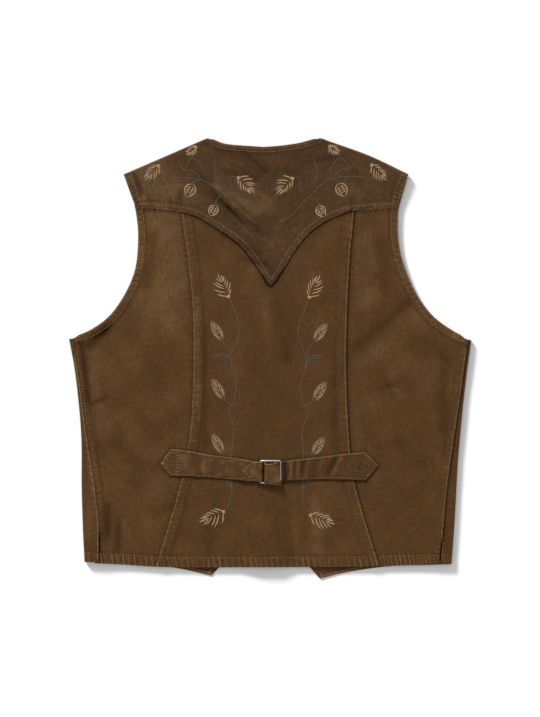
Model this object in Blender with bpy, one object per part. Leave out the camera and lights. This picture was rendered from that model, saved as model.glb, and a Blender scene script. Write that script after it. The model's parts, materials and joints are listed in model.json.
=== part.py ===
"""A western vest laid out face down: the back and its yoke on top, the two buttoned fronts underneath.

Metres, +Z up, with the garment's neck towards +Y and its own left side towards -X. The origin is on
the surface that it lies on, under the middle of its box. Tables and sizes are in millimetres.
"""

import math

import bmesh
import bpy
import numpy as np

MM = 0.001

# The cloth and how it is sewn
CLOTH = 1.2  # a heavy cotton canvas with its facing
SEAM_GAP = 0.5  # between two pieces that are sewn together
YOKE_GAP = 0.9  # the same at the yoke's edge, measured along the panels
LAYER_GAP = 0.3  # between two pieces that lie on each other
SEAM_BAND = 8.0  # width of a felled seam, which stands proud
SEAM_RAMP = 3.0
SEAM_RAISE = 0.9
HEM_DEPTH = 17.0
HEM_RAISE = 0.8
VENT_GAP = 1.2  # the side seams end in short vents
VENT_TOP = -248.0
HEM_MIDDLE = -284.0  # y of the hem between the side vents
YOKE_SIDE = 203.5  # y where the armholes' edges leave the yoke
ARMHOLE_TOP = 249.0
SHARP = 40.0  # degrees; gentler edges are shaded smooth

# How the layers lie on each other
FOLD = 2.8  # how far the rolled side and shoulder edges reach past their straight part
REST = 3.0  # underside of the back, above the surface
SIDE_LIFT = 1.4  # what the rolled edges add to that
SIDE_REACH = 60.0  # how far in from the side edges that lift reaches
SIDE_FADE = (10.0, 60.0)  # y where the lift of the sides begins to fade, and where it has gone
UNDERARM = 24.0  # y of the side edges' upper ends
SHOULDER_REACH = 45.0
SHOULDER_FADE = 30.0  # past a shoulder's end, along the neck
FOLDS_AT_SIDES = 0.5  # share of a fold's height that the rolled sides take away
NECK_SINK = 1.6  # the back sinks into the open front neck
NECK_CENTER = (-8.0, 205.0)
NECK_SPREAD = (75.0, 100.0)
NECK_FLOOR = 0.1  # share of the spread over which it lies level
NECK_MARGIN = 6.0  # past the fronts' neck edges it is level, and then it slopes
NECK_SLOPE = 30.0
CLOSURE_LIFT = 3.3  # the buttoned edges under the back
CLOSURE_ACROSS = (16.0, 62.0)  # from the closure's middle: where its lift fades, and where it has gone
CLOSURE_ABOVE = (95.0, 150.0)  # the same in y, towards the neck
CLOSURE_BELOW = (-225.0, -285.0)  # and towards the hem

# The front closure, which lies under the back
CLOSURE_X = -6.0
OVERLAP = 12.0  # each front's edge past the closure's middle
CLOSURE_TOP = 80.0
CLOSURE_FOOT = -203.0
BUTTON_RADIUS = 8.5
BUTTON_THICK = 2.2
BUTTON_TOP = 58.0
BUTTON_PITCH = 58.0
BUTTONS = 5
BUTTON_SIDES = 18
BUTTON_ROOM = 45.0  # from the closure's middle to where the fronts reach the surface again
BUTTON_LIFT_FADE = 60.0  # above the closure's top
UPPER_EDGE = 2.0  # the upper front lies level this far past the lower one's edge
BUTTON_DISH = 0.5  # depth of the face inside the rim
BUTTON_DISH_EDGE = 2.4  # from the button's edge to the dish, and to the rim's two edges
BUTTON_RIM_INNER = 1.8
BUTTON_RIM_OUTER = 0.7
BUTTON_BACK_ROUND = 0.5

# Outline of the laid garment: each row is (x, y)
ARMHOLE_LEFT = [(-199.5, 250.0), (-186.6, 215.0), (-180.5, 182.0), (-180.0, 150.0), (-184.6, 117.0),
                (-199.0, 84.5), (-219.0, 57.0), (-243.0, 39.0), (-273.7, 26.2)]
ARMHOLE_RIGHT = [(188.4, 250.0), (176.8, 217.0), (173.6, 186.0), (176.0, 150.0), (185.4, 117.0),
                 (200.7, 84.5), (221.5, 57.5), (246.0, 39.0), (273.7, 24.6)]
SIDE_LEFT = [(-273.7, 26.2), (-266.8, -11.0), (-260.7, -60.0), (-257.0, -110.0), (-256.6, -175.0),
             (-254.6, -240.0), (-252.6, -277.5)]
SIDE_RIGHT = [(273.7, 24.6), (266.7, -27.0), (261.3, -76.0), (255.4, -141.0), (251.8, -207.0),
              (248.6, -255.0), (246.6, -280.5)]
SHOULDER_LEFT = [(-199.5, 250.0), (-141.7, 275.0), (-83.9, 300.5)]
SHOULDER_RIGHT = [(188.4, 250.0), (135.0, 275.5), (65.7, 300.5)]
NECK_LOW = (-9.0, 287.3)
NECK_LEFT = [(-82.8, 297.9), (-68.0, 293.7), (-41.0, 289.5), NECK_LOW]
NECK_RIGHT = [NECK_LOW, (14.0, 289.0), (40.5, 293.7), (64.6, 297.9)]
HEM = [(-234.0, -279.2), (-198.0, -281.0), (-150.0, -284.0), (0.0, -284.4), (120.0, -283.8),
       (163.0, -282.7), (231.5, -280.9)]

# Seams of the back
YOKE_TIP = (0.5, 98.0)
YOKE_LEFT = [(-182.8, 203.8), (-137.6, 201.0), (-119.4, 198.0), (-98.6, 192.0), (-76.8, 179.0),
             (-56.4, 166.0), (-37.7, 150.5), (-14.3, 119.5), YOKE_TIP]
YOKE_RIGHT = [YOKE_TIP, (21.6, 127.3), (34.1, 147.4), (52.8, 170.0), (76.3, 186.5), (108.5, 199.0),
              (131.5, 201.0), (174.9, 204.2)]
PANEL_LEFT = [(-121.2, 198.5), (-112.0, 133.0), (-105.5, 69.0), (-104.5, -10.0), (-108.3, -94.0),
              (-120.1, -161.5), (-155.6, -284.5)]
PANEL_RIGHT = [(114.3, 200.5), (108.5, 137.0), (104.6, 60.0), (103.5, -12.0), (107.0, -103.0),
               (114.1, -166.0), (148.1, -284.5)]
SIDE_SEAM_LEFT = [(-269.4, 25.0), (-264.4, 0.0), (-259.6, -28.6), (-250.1, -101.5), (-237.6, -184.0),
                  (-233.6, -225.0), (-233.5, -279.3)]
SIDE_SEAM_RIGHT = [(269.4, 23.4), (265.2, -4.0), (260.4, -40.5), (250.6, -106.0), (240.9, -174.0),
                   (235.0, -238.0), (231.2, -280.9)]

# Edges of the fronts, on the surface
FRONT_ARMHOLE_LEFT = [(-174.5, 206.5), (-170.5, 165.0), (-173.0, 128.0), (-187.0, 92.0), (-209.0, 58.0),
                      (-237.0, 36.0), (-270.9, 25.0)]
FRONT_ARMHOLE_RIGHT = [(164.5, 206.0), (163.0, 165.0), (167.0, 128.0), (180.0, 92.0), (203.0, 58.0),
                       (233.0, 35.0), (270.9, 23.4)]
FRONT_NECK_LEFT = [(-66.5, 257.5), (-47.0, 200.0), (-20.0, 135.0), (6.0, CLOSURE_TOP)]
FRONT_NECK_RIGHT = [(49.0, 257.5), (31.0, 200.0), (7.0, 135.0), (-18.0, CLOSURE_TOP)]
POINT_LEFT = (-80.0, -296.0)
POINT_RIGHT = (68.0, -300.5)
FRONT_HEM_LEFT = [(-249.8, -277.5), (-198.0, -280.0), (-150.0, -282.7), (-118.0, -287.5), POINT_LEFT]
FRONT_HEM_RIGHT = [(243.8, -280.5), (190.0, -281.5), (150.0, -284.5), (92.0, -293.8), POINT_RIGHT]

# The largest folds of the back: a soft ridge, or a trough where the height is negative, along each line
#        x0      y0      x1      y1    half_width  height
FOLDS = [
    (-86.0, 236.0, -6.0, 172.0, 10.0, -1.5),
    (-62.0, 250.0, 4.0, 196.0, 12.0, 1.2),
    (-66.0, 278.0, -8.0, 257.0, 8.0, -1.1),
    (44.0, 272.0, 80.0, 274.0, 7.0, -1.1),
    (-20.0, 152.0, 6.0, 118.0, 12.0, -0.9),
    (-254.0, 22.0, -220.0, 38.0, 7.0, -1.3),
    (-252.0, 10.0, -240.0, -84.0, 8.0, -1.3),
    (112.0, 4.0, 184.0, 70.0, 11.0, -1.3),
    (128.0, -14.0, 200.0, 50.0, 12.0, 0.9),
    (-92.0, 60.0, -92.0, -118.0, 9.0, -0.9),
    (86.0, -40.0, 86.0, -120.0, 10.0, -0.9),
    (26.0, 96.0, 24.0, 0.0, 11.0, -0.9),
    (-220.0, -212.0, -222.0, -244.0, 9.0, -1.1),
    (-154.0, -212.0, -120.0, -196.0, 9.0, -1.0),
]

# The waist strap across the back: each row is (x, upper_y, lower_y)
STRAP_LEFT = [(-148.8, -143.3, -143.9), (-135.2, -123.6, -159.8), (-110.0, -126.6, -160.2),
              (-77.0, -132.7, -162.4), (-40.0, -137.2, -165.6), (-24.0, -140.2, -167.2),
              (-10.0, -141.6, -167.6)]
STRAP_RIGHT = [(145.7, -146.0, -146.6), (129.8, -128.2, -166.4), (103.0, -130.2, -164.8),
               (65.0, -135.0, -164.6), (26.0, -139.0, -166.0), (16.0, -141.6, -167.6), (-9.0, -141.6, -167.6)]
STRAP = 1.6  # two layers, pressed
STRAP_CLEAR = 0.5  # above the highest cloth under it
STRAP_RETURN = 23.0  # the looped end's under layer
STRAP_TAIL = 11.6  # the threaded end, tucked behind the buckle
STRAP_TURN = 6.3  # from the middle bar to where the threaded end turns back
STRAP_FEEL = (-6.0, -3.0, 0.0, 3.0, 6.0)  # the strap rests on the highest cloth within this, along it
STRAP_LINES = 4  # spans across the strap
SEAM_MARGIN = (2.0, 4.0)  # the seams count as this much wider where the strap crosses them
LEFT_STOPS = (-148.8, -142.0, -135.2, -127.0, -118.0, -109.0, -100.0, -90.0, -80.0, -70.0, -60.0)
RIGHT_STOPS = (145.7, 138.0, 129.8, 121.0, 112.0, 103.0, 93.0, 83.0, 73.0, 63.0, 53.0, 43.0, 33.0, 24.0, 18.0)

# The buckle, a wire frame with a middle bar
BUCKLE_LEFT = -13.1
BUCKLE_RIGHT = 14.2
BUCKLE_UPPER = -139.6
BUCKLE_LOWER = -169.6
BUCKLE_BAR = 1.2  # x of the middle bar
BUCKLE_WIRE = 1.0  # radius
BUCKLE_CORNER = 1.6
WRAP = 2.1  # from a bar's middle to the middle of the strap around it
BUCKLE_RISE = STRAP / 2 + WRAP  # the wire's middle above what the strap lies on
BUCKLE_LEVEL = 26.0  # the strap lies level over this much to each side
BUCKLE_FADE = 60.0  # and follows the cloth again from here
BUCKLE_FEEL = 24.0  # its level is that of the highest cloth within this
BUCKLE_STEP = 6.0

# How the walls are divided
CENTER_SPANS = (30, 5)  # up the panel, and across each half
SIDE_SPANS = (11, 14, 7)  # along the armhole, along the side seam, and across
YOKE_SPANS = (7, 6, 6, 3)  # along a shoulder, along half of the neck, up the yoke, and under it
FRONT_SPANS = (9, 11, 5, 9)  # along the armhole, the buttoned edge and the pointed foot, and across
ARMHOLE_SHARE = 0.36  # of a panel seam's length, across from the armhole
SHOULDER_SHARE = (0.52, 0.48)  # of the yoke's left edge, and of its right edge up to the neck's end
BUTTONED_SHARE = 0.78  # of a side's length, across from the buttoned edge
PINNED = (1.0, 0.6, 0.3)  # how far a pinned row and the next two follow the curve
ROLL_STEPS = 4
BAR_STEPS = 6
CORNER_STEPS = 4
SETTLING = 20  # rounds that bring a column's top onto the yoke's edge


# Curves in the plan

def smooth(points, steps=8):
    """Points along a smooth curve through these points, with every span split into steps."""
    given = np.array(points, float)
    given = np.vstack([2 * given[0] - given[1], given, 2 * given[-1] - given[-2]])
    made = []
    for a, b, c, d in zip(given, given[1:], given[2:], given[3:]):
        knots = np.cumsum([0] + [math.sqrt(math.dist(p, q)) for p, q in ((a, b), (b, c), (c, d))])
        for t in np.linspace(knots[1], knots[2], steps, endpoint=False):
            first = [blend(p, q, t, knots[k], knots[k + 1])
                     for k, (p, q) in enumerate(((a, b), (b, c), (c, d)))]
            second = [blend(first[k], first[k + 1], t, knots[k], knots[k + 2]) for k in (0, 1)]
            made.append(blend(second[0], second[1], t, knots[1], knots[2]))
    return np.vstack([made, given[-2]])


def blend(p, q, t, start, end):
    """What lies between p at start and q at end, at t."""
    share = (t - start) / (end - start)
    return p * (1 - share) + q * share


def evenly(points, count, begin=0.0, end=1.0, end_bands=()):
    """count spans along a smooth curve, from one share of its length to another.

    end_bands gives rows at these distances from the end instead of the last one.
    """
    curve = smooth(points)
    run = np.concatenate([[0], np.cumsum(np.linalg.norm(np.diff(curve, axis=0), axis=1))])
    last = end * run[-1] - (end_bands[0] if end_bands else 0)
    distances = list(np.linspace(begin * run[-1], last, count + 1))
    distances += [run[-1] - band for band in end_bands[1:]]
    return np.stack([np.interp(distances, run, curve[:, k]) for k in (0, 1)], axis=1)


def height_of(points, rising=True):
    """A function that gives y at x on the smooth curve through these points."""
    curve = smooth(points)
    curve = curve if rising else curve[::-1]
    return lambda x: float(np.interp(x, curve[:, 0], curve[:, 1]))


def width_of(points):
    """A function that gives x at y on the smooth curve through these points, which run downwards."""
    curve = smooth(points)[::-1]
    return lambda y: float(np.interp(y, curve[:, 1], curve[:, 0]))


hem_y = height_of(HEM)
yoke_y = height_of(YOKE_LEFT[:-1] + YOKE_RIGHT)
side_left_x = width_of(SIDE_LEFT)
side_right_x = width_of(SIDE_RIGHT)
panel_left_x = width_of(PANEL_LEFT)
panel_right_x = width_of(PANEL_RIGHT)
front_neck_left = width_of(FRONT_NECK_LEFT)
front_neck_right = width_of(FRONT_NECK_RIGHT)


# Heights of the cloth

def ease(value, start, end):
    """1 up to start, 0 from end, and a smooth fall between them."""
    share = min(max((value - start) / (end - start), 0.0), 1.0)
    return 0.5 + 0.5 * math.cos(math.pi * share)


def ramp(value, start, end):
    """1 up to start, 0 from end, and straight between them."""
    return min(max((end - value) / (end - start), 0.0), 1.0)


def below_line(x, y, points):
    """How far a point lies under the straight line between a shoulder's two ends."""
    (x0, y0), (x1, y1) = points[0], points[-1]
    reach = math.dist((x0, y0), (x1, y1))
    return abs((x1 - x0) * (y - y0) - (y1 - y0) * (x - x0)) / reach


def fold_height(x, y):
    """What the folds add to the back's height."""
    total = 0.0
    for x0, y0, x1, y1, half_width, height in FOLDS:
        length = math.dist((x0, y0), (x1, y1))
        along = ((x - x0) * (x1 - x0) + (y - y0) * (y1 - y0)) / length
        across = ((x - x0) * (y1 - y0) - (y - y0) * (x1 - x0)) / length
        past = max(-along, along - length, 0.0)
        total += height * math.exp(-((across / half_width) ** 2)) * ease(past, 0.0, 2.0 * half_width)
    return total


def back_under(x, y):
    """Height of the underside of the back's cloth."""
    level = min(y, UNDERARM)
    edge = min(x - side_left_x(level), side_right_x(level) - x)
    sides = ease(edge, 0.0, SIDE_REACH) * ease(y, *SIDE_FADE)
    left_end, right_end = SHOULDER_LEFT[-1][0], SHOULDER_RIGHT[-1][0]
    beside = ease(min(abs(x - left_end), abs(x - right_end)), 0.0, SHOULDER_FADE)
    on_shoulder = 1.0 if x < left_end or x > right_end else beside
    line = SHOULDER_LEFT if x < NECK_LOW[0] else SHOULDER_RIGHT
    shoulders = ease(below_line(x, y, line), FOLD, SHOULDER_REACH) * on_shoulder
    from_neck = math.hypot((x - NECK_CENTER[0]) / NECK_SPREAD[0], (y - NECK_CENTER[1]) / NECK_SPREAD[1])
    neck = ease(from_neck, NECK_FLOOR, 1.0)
    closure = ease(abs(x - CLOSURE_X), *CLOSURE_ACROSS) * ease(y, *CLOSURE_ABOVE) * ease(y, *CLOSURE_BELOW)
    folds = fold_height(x, y) * (1 - closure) * (1 - sides * FOLDS_AT_SIDES) * (1 - shoulders)
    height = REST + SIDE_LIFT * max(sides, shoulders) - NECK_SINK * neck + CLOSURE_LIFT * closure + folds
    return max(height, fronts_top(x, y) + LAYER_GAP)


def fronts_top(x, y):
    """The top of the fronts where they lie under this place, with a slope past their neck's edge."""
    past_left = 1.0 - ramp(x - front_neck_left(y), NECK_MARGIN, NECK_SLOPE)
    past_right = 1.0 - ramp(front_neck_right(y) - x, NECK_MARGIN, NECK_SLOPE)
    covered = 1.0 - past_left * past_right if y > CLOSURE_TOP else 1.0
    upper = upper_front_lift(x) * ramp(CLOSURE_X - OVERLAP - x, NECK_MARGIN, BUTTON_ROOM)
    return covered * (CLOTH + LAYER_GAP + closure_lift(x, y) + upper)


def closure_lift(x, y):
    """How far the buttons hold the fronts off the surface."""
    over = ramp(abs(x - CLOSURE_X), OVERLAP, BUTTON_ROOM)
    return (BUTTON_THICK + LAYER_GAP) * over * ramp(y, CLOSURE_TOP, CLOSURE_TOP + BUTTON_LIFT_FADE)


def upper_front_lift(x):
    """How far the right front lies above that, because the left front is under its edge."""
    return (CLOTH + 3 * LAYER_GAP) * ramp(x - CLOSURE_X, OVERLAP + UPPER_EDGE, BUTTON_ROOM)


def band(distance, width, rise):
    """What a seam, a faced edge or a hem adds at this distance from the edge."""
    return rise * ramp(distance, width, width + SEAM_RAMP)


# Grids of plan points, and the walls made from them

EDGE_STOPS = [0.0, SEAM_BAND, SEAM_BAND + SEAM_RAMP]
PLAIN_STOPS = [0.0]


def stops(length, near, far, count):
    """Distances across a row: fixed ones near both ends, and count even spans between them."""
    middle = np.linspace(near[-1], length - far[-1], count + 1)[1:-1]
    return list(near) + list(middle) + [length - d for d in reversed(far)]


def row_between(start, end, near, far, count):
    """Plan points from start to end, each as (x, y, distance from the start, distance from the end)."""
    length = math.dist(start, end)
    row = []
    for d in stops(length, near, far, count):
        x, y = (start[k] + (end[k] - start[k]) * d / length for k in (0, 1))
        row.append((x, y, d, length - d))
    return row


def wall(name, material, patches):
    """A closed wall of cloth. Each patch is a pair of grids: the cloth's right side, and its wrong side."""
    outer, inner, faces = [], [], []
    index = {}
    for outside, inside in patches:
        numbers = []
        for outer_row, inner_row in zip(outside, inside):
            numbers.append([])
            for p, q in zip(outer_row, inner_row):
                key = tuple(round(v, 4) for v in p)
                if key not in index:
                    index[key] = len(outer)
                    outer.append(p)
                    inner.append(q)
                numbers[-1].append(index[key])
        for low, high in zip(numbers, numbers[1:]):
            for k in range(len(low) - 1):
                faces.append((low[k], low[k + 1], high[k + 1], high[k]))
    return thicken(name, material, outer, inner, faces)


def thicken(name, material, outer, inner, faces):
    """A mesh object with these faces on its right side, the same ones on its wrong side, and a rim."""
    mesh = bpy.data.meshes.new(name)
    shape = bmesh.new()
    top = [shape.verts.new([v * MM for v in p]) for p in outer]
    bottom = [shape.verts.new([v * MM for v in p]) for p in inner]
    sides = {}
    for face in faces:
        shape.faces.new([top[k] for k in face])
        shape.faces.new([bottom[k] for k in reversed(face)])
        for a, b in zip(face, face[1:] + face[:1]):
            if (b, a) in sides:
                del sides[b, a]
            else:
                sides[a, b] = True
    for a, b in sides:
        shape.faces.new([top[b], top[a], bottom[a], bottom[b]])
    bmesh.ops.recalc_face_normals(shape, faces=shape.faces)
    shape.to_mesh(mesh)
    shape.free()
    return add(name, mesh, material)


def add(name, mesh, material):
    """An object in the scene, shaded smooth but for its sharp edges."""
    made = bpy.data.objects.new(name, mesh)
    bpy.context.scene.collection.objects.link(made)
    mesh.materials.append(material)
    mesh.shade_smooth()
    mesh.set_sharp_from_angle(angle=math.radians(SHARP))
    return made


def laid(rows, rise):
    """The right and wrong sides of cloth that lies on top, from rows of plan points.

    rise gives how far the seams and hems stand proud.
    """
    outside, inside = [], []
    for row in rows:
        heights = [back_under(p[0], p[1]) + rise(p) for p in row]
        outside.append([(p[0], p[1], h + CLOTH) for p, h in zip(row, heights)])
        inside.append([(p[0], p[1], h) for p, h in zip(row, heights)])
    return outside, inside


def under(rows, lift):
    """The same for cloth that lies face down on the surface. lift gives how far it is held off it."""
    outside = [[(p[0], p[1], lift(p[0], p[1])) for p in row] for row in rows]
    inside = [[(x, y, z + CLOTH) for x, y, z in row] for row in outside]
    return outside, inside


def rolled(tops, edges, foot_lift):
    """Cloth that rolls over an edge: from the points on top, round the outline's points, to the surface."""
    outside, inside = [], []
    for (x, y, z), (ex, ey) in zip(tops, edges):
        reach = math.dist((x, y), (ex, ey))
        out = ((ex - x) / reach, (ey - y) / reach)
        low = foot_lift(x, y)
        radius = (z - low) / 2
        arc = [math.pi * (0.5 - k / ROLL_STEPS) for k in range(ROLL_STEPS + 1)]
        for grid, r_out, r_up in ((outside, reach, radius), (inside, reach - CLOTH, radius - CLOTH)):
            grid.append([(x + out[0] * r_out * math.cos(a), y + out[1] * r_out * math.cos(a),
                          low + radius + r_up * math.sin(a)) for a in arc])
    return outside, inside


# The back

def back_center(material):
    """The middle panel, whose edges lie over the side panels."""
    spans_up, spans_across = CENTER_SPANS
    middle = YOKE_TIP[0]

    def across(y, k):
        low, high = panel_left_x(y), panel_right_x(y)
        half = stops(middle - low, EDGE_STOPS, PLAIN_STOPS, spans_across)
        other = stops(high - middle, PLAIN_STOPS, EDGE_STOPS, spans_across)
        xs = [low + d for d in half] + [middle + d for d in other[1:]]
        return xs[k], xs[k] - low, high - xs[k]

    count = 2 * (len(EDGE_STOPS) + spans_across) - 1
    columns = []
    for k in range(count):
        top = YOKE_TIP[1]
        for _ in range(SETTLING):
            top = (top + yoke_y(across(top, k)[0]) - YOKE_GAP) / 2
        foot = hem_y(across(HEM_MIDDLE, k)[0])
        rises = [0.0, HEM_DEPTH, HEM_DEPTH + SEAM_RAMP]
        column = []
        for rise in stops(top - foot, rises, [0.0], spans_up):
            x, from_left, from_right = across(foot + rise, k)
            column.append((x, foot + rise, min(from_left, from_right), rise))
        columns.append(column)

    def proud(p):
        return max(band(p[2], SEAM_BAND, SEAM_RAISE), band(p[3], HEM_DEPTH, HEM_RAISE))

    return wall("back_center", material, [laid(columns, proud)])


def back_side(name, material, panel, armhole, side_seam, sign):
    """A side panel: from the middle panel's edge to the armhole and the side seam."""
    spans_armhole, spans_side, spans_across = SIDE_SPANS
    start = armhole_below_yoke(armhole, sign)
    outer = evenly(start, spans_armhole)
    hem_bands = [HEM_DEPTH + SEAM_RAMP, HEM_DEPTH, 0.0]
    outer = np.vstack([outer[:-1], evenly(side_seam, spans_side, end_bands=hem_bands)])
    inner = np.vstack([evenly(panel, spans_armhole, 0.0, ARMHOLE_SHARE)[:-1],
                       evenly(panel, spans_side, ARMHOLE_SHARE, 1.0, end_bands=hem_bands)])
    rows = []
    for k, (edge, seam) in enumerate(zip(outer, inner)):
        shift = VENT_GAP if edge[1] < VENT_TOP else SEAM_GAP
        edge_x = edge[0] - sign * (shift / 2 if k >= spans_armhole else 0.0)
        near = (seam[0] + sign * SEAM_GAP, seam[1])
        rows.append(row_between(near, (edge_x, edge[1]), PLAIN_STOPS, EDGE_STOPS, spans_across))
    pin_to(rows, 0, lambda x: yoke_y(x) - YOKE_GAP)
    pin_to(rows, -1, hem_y)

    def proud(p):
        return max(band(p[3], SEAM_BAND, SEAM_RAISE), band(p[1] - hem_y(p[0]), HEM_DEPTH, HEM_RAISE))

    return wall(name, material, [laid(rows, proud)])


def armhole_below_yoke(armhole, sign):
    """The part of an armhole's edge below the yoke, ending at the side seam."""
    below = [tuple(p) for p in smooth(armhole) if p[1] < yoke_y(p[0]) - YOKE_GAP - SEAM_MARGIN[0]]
    seam = (SIDE_SEAM_LEFT if sign < 0 else SIDE_SEAM_RIGHT)[0]
    return [(width_of(armhole)(YOKE_SIDE), YOKE_SIDE)] + below[2:-2:3] + [seam]


def pin_to(rows, k, y_of):
    """Moves one row's points onto a curve, and eases the next rows towards it."""
    step = 1 if k == 0 else -1
    shifts = [y_of(p[0]) - p[1] for p in rows[k]]
    for depth, share in enumerate(PINNED):
        row = rows[k + step * depth]
        rows[k + step * depth] = [(p[0], p[1] + s * share, *p[2:]) for p, s in zip(row, shifts)]


def back_yoke(material):
    """The pointed yoke, which rolls over both shoulders and ends on the fronts."""
    spans_shoulder, spans_neck, spans_up, _ = YOKE_SPANS
    left, right = SHOULDER_SHARE
    low = np.vstack([evenly(YOKE_LEFT, spans_shoulder, 0.0, left)[:-1],
                     evenly(YOKE_LEFT, spans_neck, left, 1.0)[:-1],
                     evenly(YOKE_RIGHT, spans_neck, 0.0, right)[:-1],
                     evenly(YOKE_RIGHT, spans_shoulder, right, 1.0)])
    edge_left = evenly(SHOULDER_LEFT, spans_shoulder)
    edge_right = evenly(SHOULDER_RIGHT, spans_shoulder)[::-1]
    top_left, top_right = inward(edge_left), inward(edge_right)
    neck = np.vstack([evenly([tuple(top_left[-1])] + NECK_LEFT[1:], spans_neck)[:-1],
                      evenly(NECK_RIGHT[:-1] + [tuple(top_right[0])], spans_neck)])
    high = np.vstack([top_left[:-1], neck, top_right[1:]])
    columns = [row_between(a, b, EDGE_STOPS, EDGE_STOPS, spans_up) for a, b in zip(low, high)]
    shoulders = {p[:2] for k, column in enumerate(columns) for p in column
                 if k <= spans_shoulder or k >= len(columns) - 1 - spans_shoulder}
    arm_left, arm_right = width_of(ARMHOLE_LEFT), width_of(ARMHOLE_RIGHT)

    def proud(p):
        level = min(p[1], ARMHOLE_TOP)
        arm = min(p[0] - arm_left(level), arm_right(level) - p[0])
        neck_band = 0.0 if p[:2] in shoulders else band(p[3], SEAM_BAND, SEAM_RAISE)
        return max(band(p[2], SEAM_BAND, SEAM_RAISE), band(arm, SEAM_BAND, SEAM_RAISE), neck_band)

    top = laid(columns, proud)
    patches = [top]
    left_tops = [column[-1] for column in top[0][:spans_shoulder + 1]]
    right_tops = [column[-1] for column in top[0][-spans_shoulder - 1:]]
    for tops, edges, arm, neck_line in (
            (left_tops, edge_left, FRONT_ARMHOLE_LEFT[0], FRONT_NECK_LEFT[0]),
            (right_tops, edge_right, FRONT_ARMHOLE_RIGHT[0], FRONT_NECK_RIGHT[0])):
        patches.append(rolled(tops, edges, closure_lift))
        ends = (arm, neck_line) if edges is edge_left else (neck_line, arm)
        patches.append(under_yoke(tops, ends))
    return wall("back_yoke", material, patches)


def under_yoke(tops, ends):
    """The yoke's part on the fronts, from the rolled shoulder to the line between these two ends."""
    spans = len(tops) - 1
    rows = []
    for k, (x, y, _) in enumerate(tops):
        foot = [ends[0][j] + (ends[1][j] - ends[0][j]) * k / spans for j in (0, 1)]
        rows.append(row_between((x, y), foot, PLAIN_STOPS, PLAIN_STOPS, YOKE_SPANS[-1]))
    return under(rows, closure_lift)


def inward(points):
    """A shoulder's outline, moved in to where its roll begins."""
    along = np.gradient(points, axis=0)
    along /= np.linalg.norm(along, axis=1)[:, None]
    return points + FOLD * np.stack([along[:, 1], -along[:, 0]], axis=1)


# The fronts

def front(name, material, sign, armhole, neck, side, side_seam, hem, lift):
    """A front: face down on the surface, and rolled over the side edge up to the side seam."""
    spans_armhole, spans_side, spans_point, spans_across = FRONT_SPANS
    edge_x = CLOSURE_X - sign * OVERLAP
    point = hem[-1]
    outline = np.vstack([evenly(side, spans_side, 0.0, BUTTONED_SHARE)[:-1],
                         evenly(side, spans_point, BUTTONED_SHARE, 1.0)])
    foot = [(x - sign * FOLD, y) for x, y in outline]
    outer = np.vstack([evenly(armhole[:-1] + [foot[0]], spans_armhole)[:-1], foot])
    inner = np.vstack([evenly(neck, spans_armhole)[:-1],
                       evenly([(edge_x, CLOSURE_TOP), (edge_x, CLOSURE_FOOT)], spans_side)[:-1],
                       evenly([(edge_x, CLOSURE_FOOT), point], spans_point)])
    outer[0][1] -= SEAM_GAP
    inner[0][1] -= SEAM_GAP
    near_closure = [0.0, 2 * OVERLAP]
    rows = [row_between(a, b, PLAIN_STOPS, near_closure, spans_across) for a, b in zip(outer, inner)]
    pin_to(rows, -1, height_of(hem, rising=sign < 0))
    flat = under(rows, lift)
    seam_x = width_of(side_seam)
    outside, inside, edges = [], [], []
    for (x, _), row in zip(outline, flat[0][spans_armhole:]):
        y = row[0][1]
        gap = (VENT_GAP if y < VENT_TOP else SEAM_GAP) / 2
        seam = seam_x(max(y, side_seam[-1][1])) + sign * gap
        xs = [seam, (seam + row[0][0]) / 2, row[0][0]]
        tops = [(px, y, back_under(px, y) + CLOTH) for px in xs]
        outside.append(tops)
        inside.append([(px, py, pz - CLOTH) for px, py, pz in tops])
        edges.append((x, y))
    roll = rolled([row[-1] for row in outside], edges, lift)
    return wall(name, material, [flat, (outside, inside), roll])


def button(name, material, x, y):
    """A flat round button with a raised rim, under the left front."""
    profile = [(0.0, BUTTON_DISH), (BUTTON_RADIUS - BUTTON_DISH_EDGE, BUTTON_DISH),
               (BUTTON_RADIUS - BUTTON_RIM_INNER, 0.0), (BUTTON_RADIUS - BUTTON_RIM_OUTER, 0.0),
               (BUTTON_RADIUS, BUTTON_RIM_OUTER), (BUTTON_RADIUS, BUTTON_THICK - BUTTON_BACK_ROUND),
               (BUTTON_RADIUS - BUTTON_BACK_ROUND, BUTTON_THICK), (0.0, BUTTON_THICK)]
    mesh = bpy.data.meshes.new(name)
    shape = bmesh.new()
    points = [shape.verts.new((r * MM, 0.0, z * MM)) for r, z in profile]
    edges = [shape.edges.new(pair) for pair in zip(points, points[1:])]
    bmesh.ops.spin(shape, geom=points + edges, cent=(0, 0, 0), axis=(0, 0, 1), angle=math.tau,
                   steps=BUTTON_SIDES, use_merge=True)
    bmesh.ops.remove_doubles(shape, verts=shape.verts, dist=0.01 * MM)
    bmesh.ops.recalc_face_normals(shape, faces=shape.faces)
    shape.to_mesh(mesh)
    shape.free()
    made = add(name, mesh, material)
    made.location = (x * MM, y * MM, 0.0)
    return made


# The waist strap and its buckle

def cloth_top(x, y):
    """The highest that the back's cloth can be at this place, seams and all."""
    before, after = SEAM_MARGIN
    proud = 0.0
    for seam in (panel_left_x(y), panel_right_x(y)):
        inside = (x - seam) * (1 if seam < 0 else -1)
        if -before < inside < SEAM_BAND + SEAM_RAMP + after:
            proud = band(inside, SEAM_BAND + after, SEAM_RAISE)
    return back_under(x, y) + CLOTH + proud


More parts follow.
